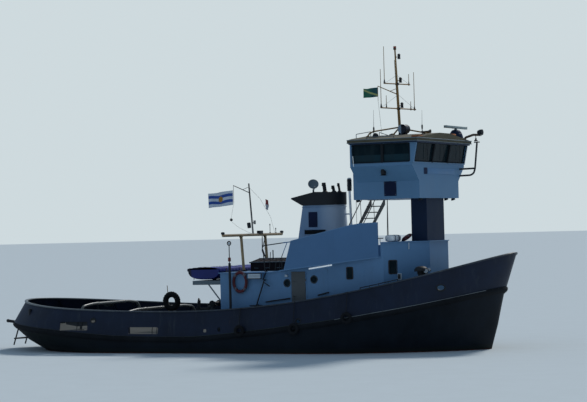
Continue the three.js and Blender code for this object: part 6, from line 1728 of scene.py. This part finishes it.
def ring_buoy(rubber, bands, centre, axle, upward_way, radius, thick, narrow, start):
    """A foam ring, round or narrowed, with four bands over it and a grab line looped between them."""
    centre, axle = Vector(centre), Vector(axle).normalized()
    up = (Vector(upward_way) - axle * Vector(upward_way).dot(axle)).normalized()
    across = up.cross(axle)

    def spoke(a):
        return across * cos(a) * narrow + up * sin(a)

    def ring(a, size):
        out = spoke(a).normalized()
        return [centre + spoke(a) * radius + (out * cos(k * pi / 7) + axle * sin(k * pi / 7)) * size
            for k in range(14)]
    skin(rubber, [ring(j * 2 * pi / 48, thick) for j in range(48)], closed=True)
    for quarter in range(4):
        middle = start + quarter * pi / 2
        span = skin(bands, [ring(middle + (j - 3) * 0.055, thick * (1.0 if j in (0, 6) else 1.045))
            for j in range(7)])
        bands.faces.new(span[0])
        bands.faces.new(span[-1])
        line = []
        for j in range(9):
            a = middle + j * pi / 16
            sag = 1.0 + 0.25 * sin(pi * j / 8)
            line.append(centre + spoke(a) * radius + spoke(a).normalized() * thick * (1.12 * sag))
        tube(bands, line, 0.007, 6)


red_shape, band_shape = bmesh.new(), bmesh.new()
ring_buoy(red_shape, band_shape, (1.038, -2.461, 2.706), (0, -1, 0), (0, 0, 1), 0.366, 0.056, 0.74, pi / 4)
for z in (2.34, 3.005):
    block(red_shape, (0.998, -2.461, z), (1.078, -2.3505, z + 0.03), 0.006)
add_piece("side_buoy", red_shape, buoy_red, replaces=["lifebuoy_side"], angle=60)
add_piece("side_buoy_bands", band_shape, band_grey, angle=60)
red_shape, band_shape = bmesh.new(), bmesh.new()
tilt = radians(-35)
ring_buoy(red_shape, band_shape, (7.53, -1.2, 4.2702), (sin(tilt), 0, cos(tilt)),
    (1, 0, 0.2), 0.17, 0.047, 1.0, pi / 4)
add_piece("roof_buoy", red_shape, buoy_red, replaces=["lifebuoy_roof"], angle=60)
add_piece("roof_buoy_bands", band_shape, band_grey, angle=60)
shape = bmesh.new()
rings = []
profile = ((0.0, 0.55), (0.015, 0.85), (0.05, 0.97), (0.1, 1.0), (0.3, 1.0), (0.33, 0.965), (0.36, 1.0),
    (0.64, 1.0), (0.67, 0.965), (0.7, 1.0), (0.9, 1.0), (0.95, 0.97), (0.985, 0.85), (1.0, 0.55))
for share, size in profile:
    y = -1.97 + 0.76 * share
    ring = []
    for k in range(28):
        a = k * 2 * pi / 28
        ring.append((7.14 + 0.178 * size * squarish(cos(a)), y, 4.253 + 0.125 * size * squarish(sin(a))))
    rings.append(ring)
rows = skin(shape, rings)
shape.faces.new(rows[0])
shape.faces.new(rows[-1])
add_piece("raft_case", shape, white_paint, replaces=["raft"], angle=50)
strap = bmesh.new()
for y in (-1.78, -1.43):
    path = []
    for k in range(29):
        a = -0.5 * pi + k * 2 * pi / 28
        path.append((7.14 + 0.184 * squarish(cos(a)), y, max(4.1265, 4.253 + 0.1285 * squarish(sin(a)))))
    webbing(strap, path, 0.02, 0.003)
add_piece("raft_straps", strap, gasket, angle=60)
finish_node("stowed_anchor", black_paint, 50)
shape = bmesh.new()
tube(shape, [(2.03, -2.45, 2.78), (2.09, -2.42, 2.95), (2.15, -2.38, 3.08)], 0.02)
turned(shape, (2.15, -2.349, 3.07), (0, -1, 0), [(0.045, 0.0), (0.045, 0.01), (0.02, 0.02), (0.02, 0.05),
    (0, 0.055)], 14)
add_piece("anchor_hanger", shape, black_paint, angle=60)

# Rim fittings: a raised pipe on each rail beside the house, on short posts, and a line of lashing
# rings of bent rod welded inside the bulwark.
shape = bmesh.new()
for side in (-1, 1):
    path = []
    for k in range(9):
        x = 6.46 + 1.38 * k / 8
        spot, out = side_point(1.0, x, side, -0.015)
        path.append(spot + Vector((0, 0, 0.095)))
    path = [path[0] - Vector((0, 0, 0.055))] + path + [path[-1] - Vector((0, 0, 0.055))]
    tube(shape, path, 0.018)
    for k in (3, 5, 7):
        tube(shape, [path[k], path[k] - Vector((0, 0, 0.055))], 0.012)
    for number in range(12):
        x = -8.5 + number * 1.35
        spot, out = side_point(0.86, x, side, -0.03)
        centre = spot - out * 0.012
        fore = out.cross(Vector(UP)).normalized()
        tube(shape, [centre + fore * cos(a) * 0.035 + Vector((0, 0, sin(a) * 0.035 - 0.03)) - out * 0.006
            for a in (k * pi / 7 for k in range(14))], 0.007, 6, closed=True)
add_piece("rim_fittings", shape, dark_trim, angle=60)


# Floor, background and light: a pale floor at the height of the water, a pale backdrop all round,
# and a soft sun behind the boat, so that its near side lies in even, bluish shade.
floor_paint = steel_paint("floor_paint", (0.56, 0.62, 0.65), rough=0.85, patch=0.02, streak=0.0, seam=900.0,
    gloss=0.1, dent=0.0)
shape = bmesh.new()
bmesh.ops.create_grid(shape, x_segments=1, y_segments=1, size=900)
as_object("floor", shape, floor_paint)
world = bpy.data.worlds.new("studio")
bpy.context.scene.world = world
world.use_nodes = True
sky = world.node_tree
sky.nodes.clear()
ambient = put(sky, "ShaderNodeBackground", {"Color": (0.5, 0.68, 0.9, 1.0), "Strength": 0.42})
backdrop = put(sky, "ShaderNodeBackground", {"Color": (0.62, 0.7, 0.73, 1.0), "Strength": 1.0})
seen = put(sky, "ShaderNodeLightPath").outputs["Is Camera Ray"]
choice = put(sky, "ShaderNodeMixShader", {0: seen, 1: ambient.outputs[0], 2: backdrop.outputs[0]})
put(sky, "ShaderNodeOutputWorld", {"Surface": choice.outputs[0]})
sun_data = bpy.data.lights.new("sun", "SUN")
sun_data.energy = 2.2
sun_data.angle = radians(12)
sun_data.color = (1.0, 0.97, 0.92)
sun = bpy.data.objects.new("sun", sun_data)
sun.rotation_mode = "QUATERNION"
sun.rotation_quaternion = Vector((0.1, 0.72, 0.7)).to_track_quat("Z", "Y")
bpy.context.scene.collection.objects.link(sun)
bpy.context.scene.view_settings.view_transform = "Standard"
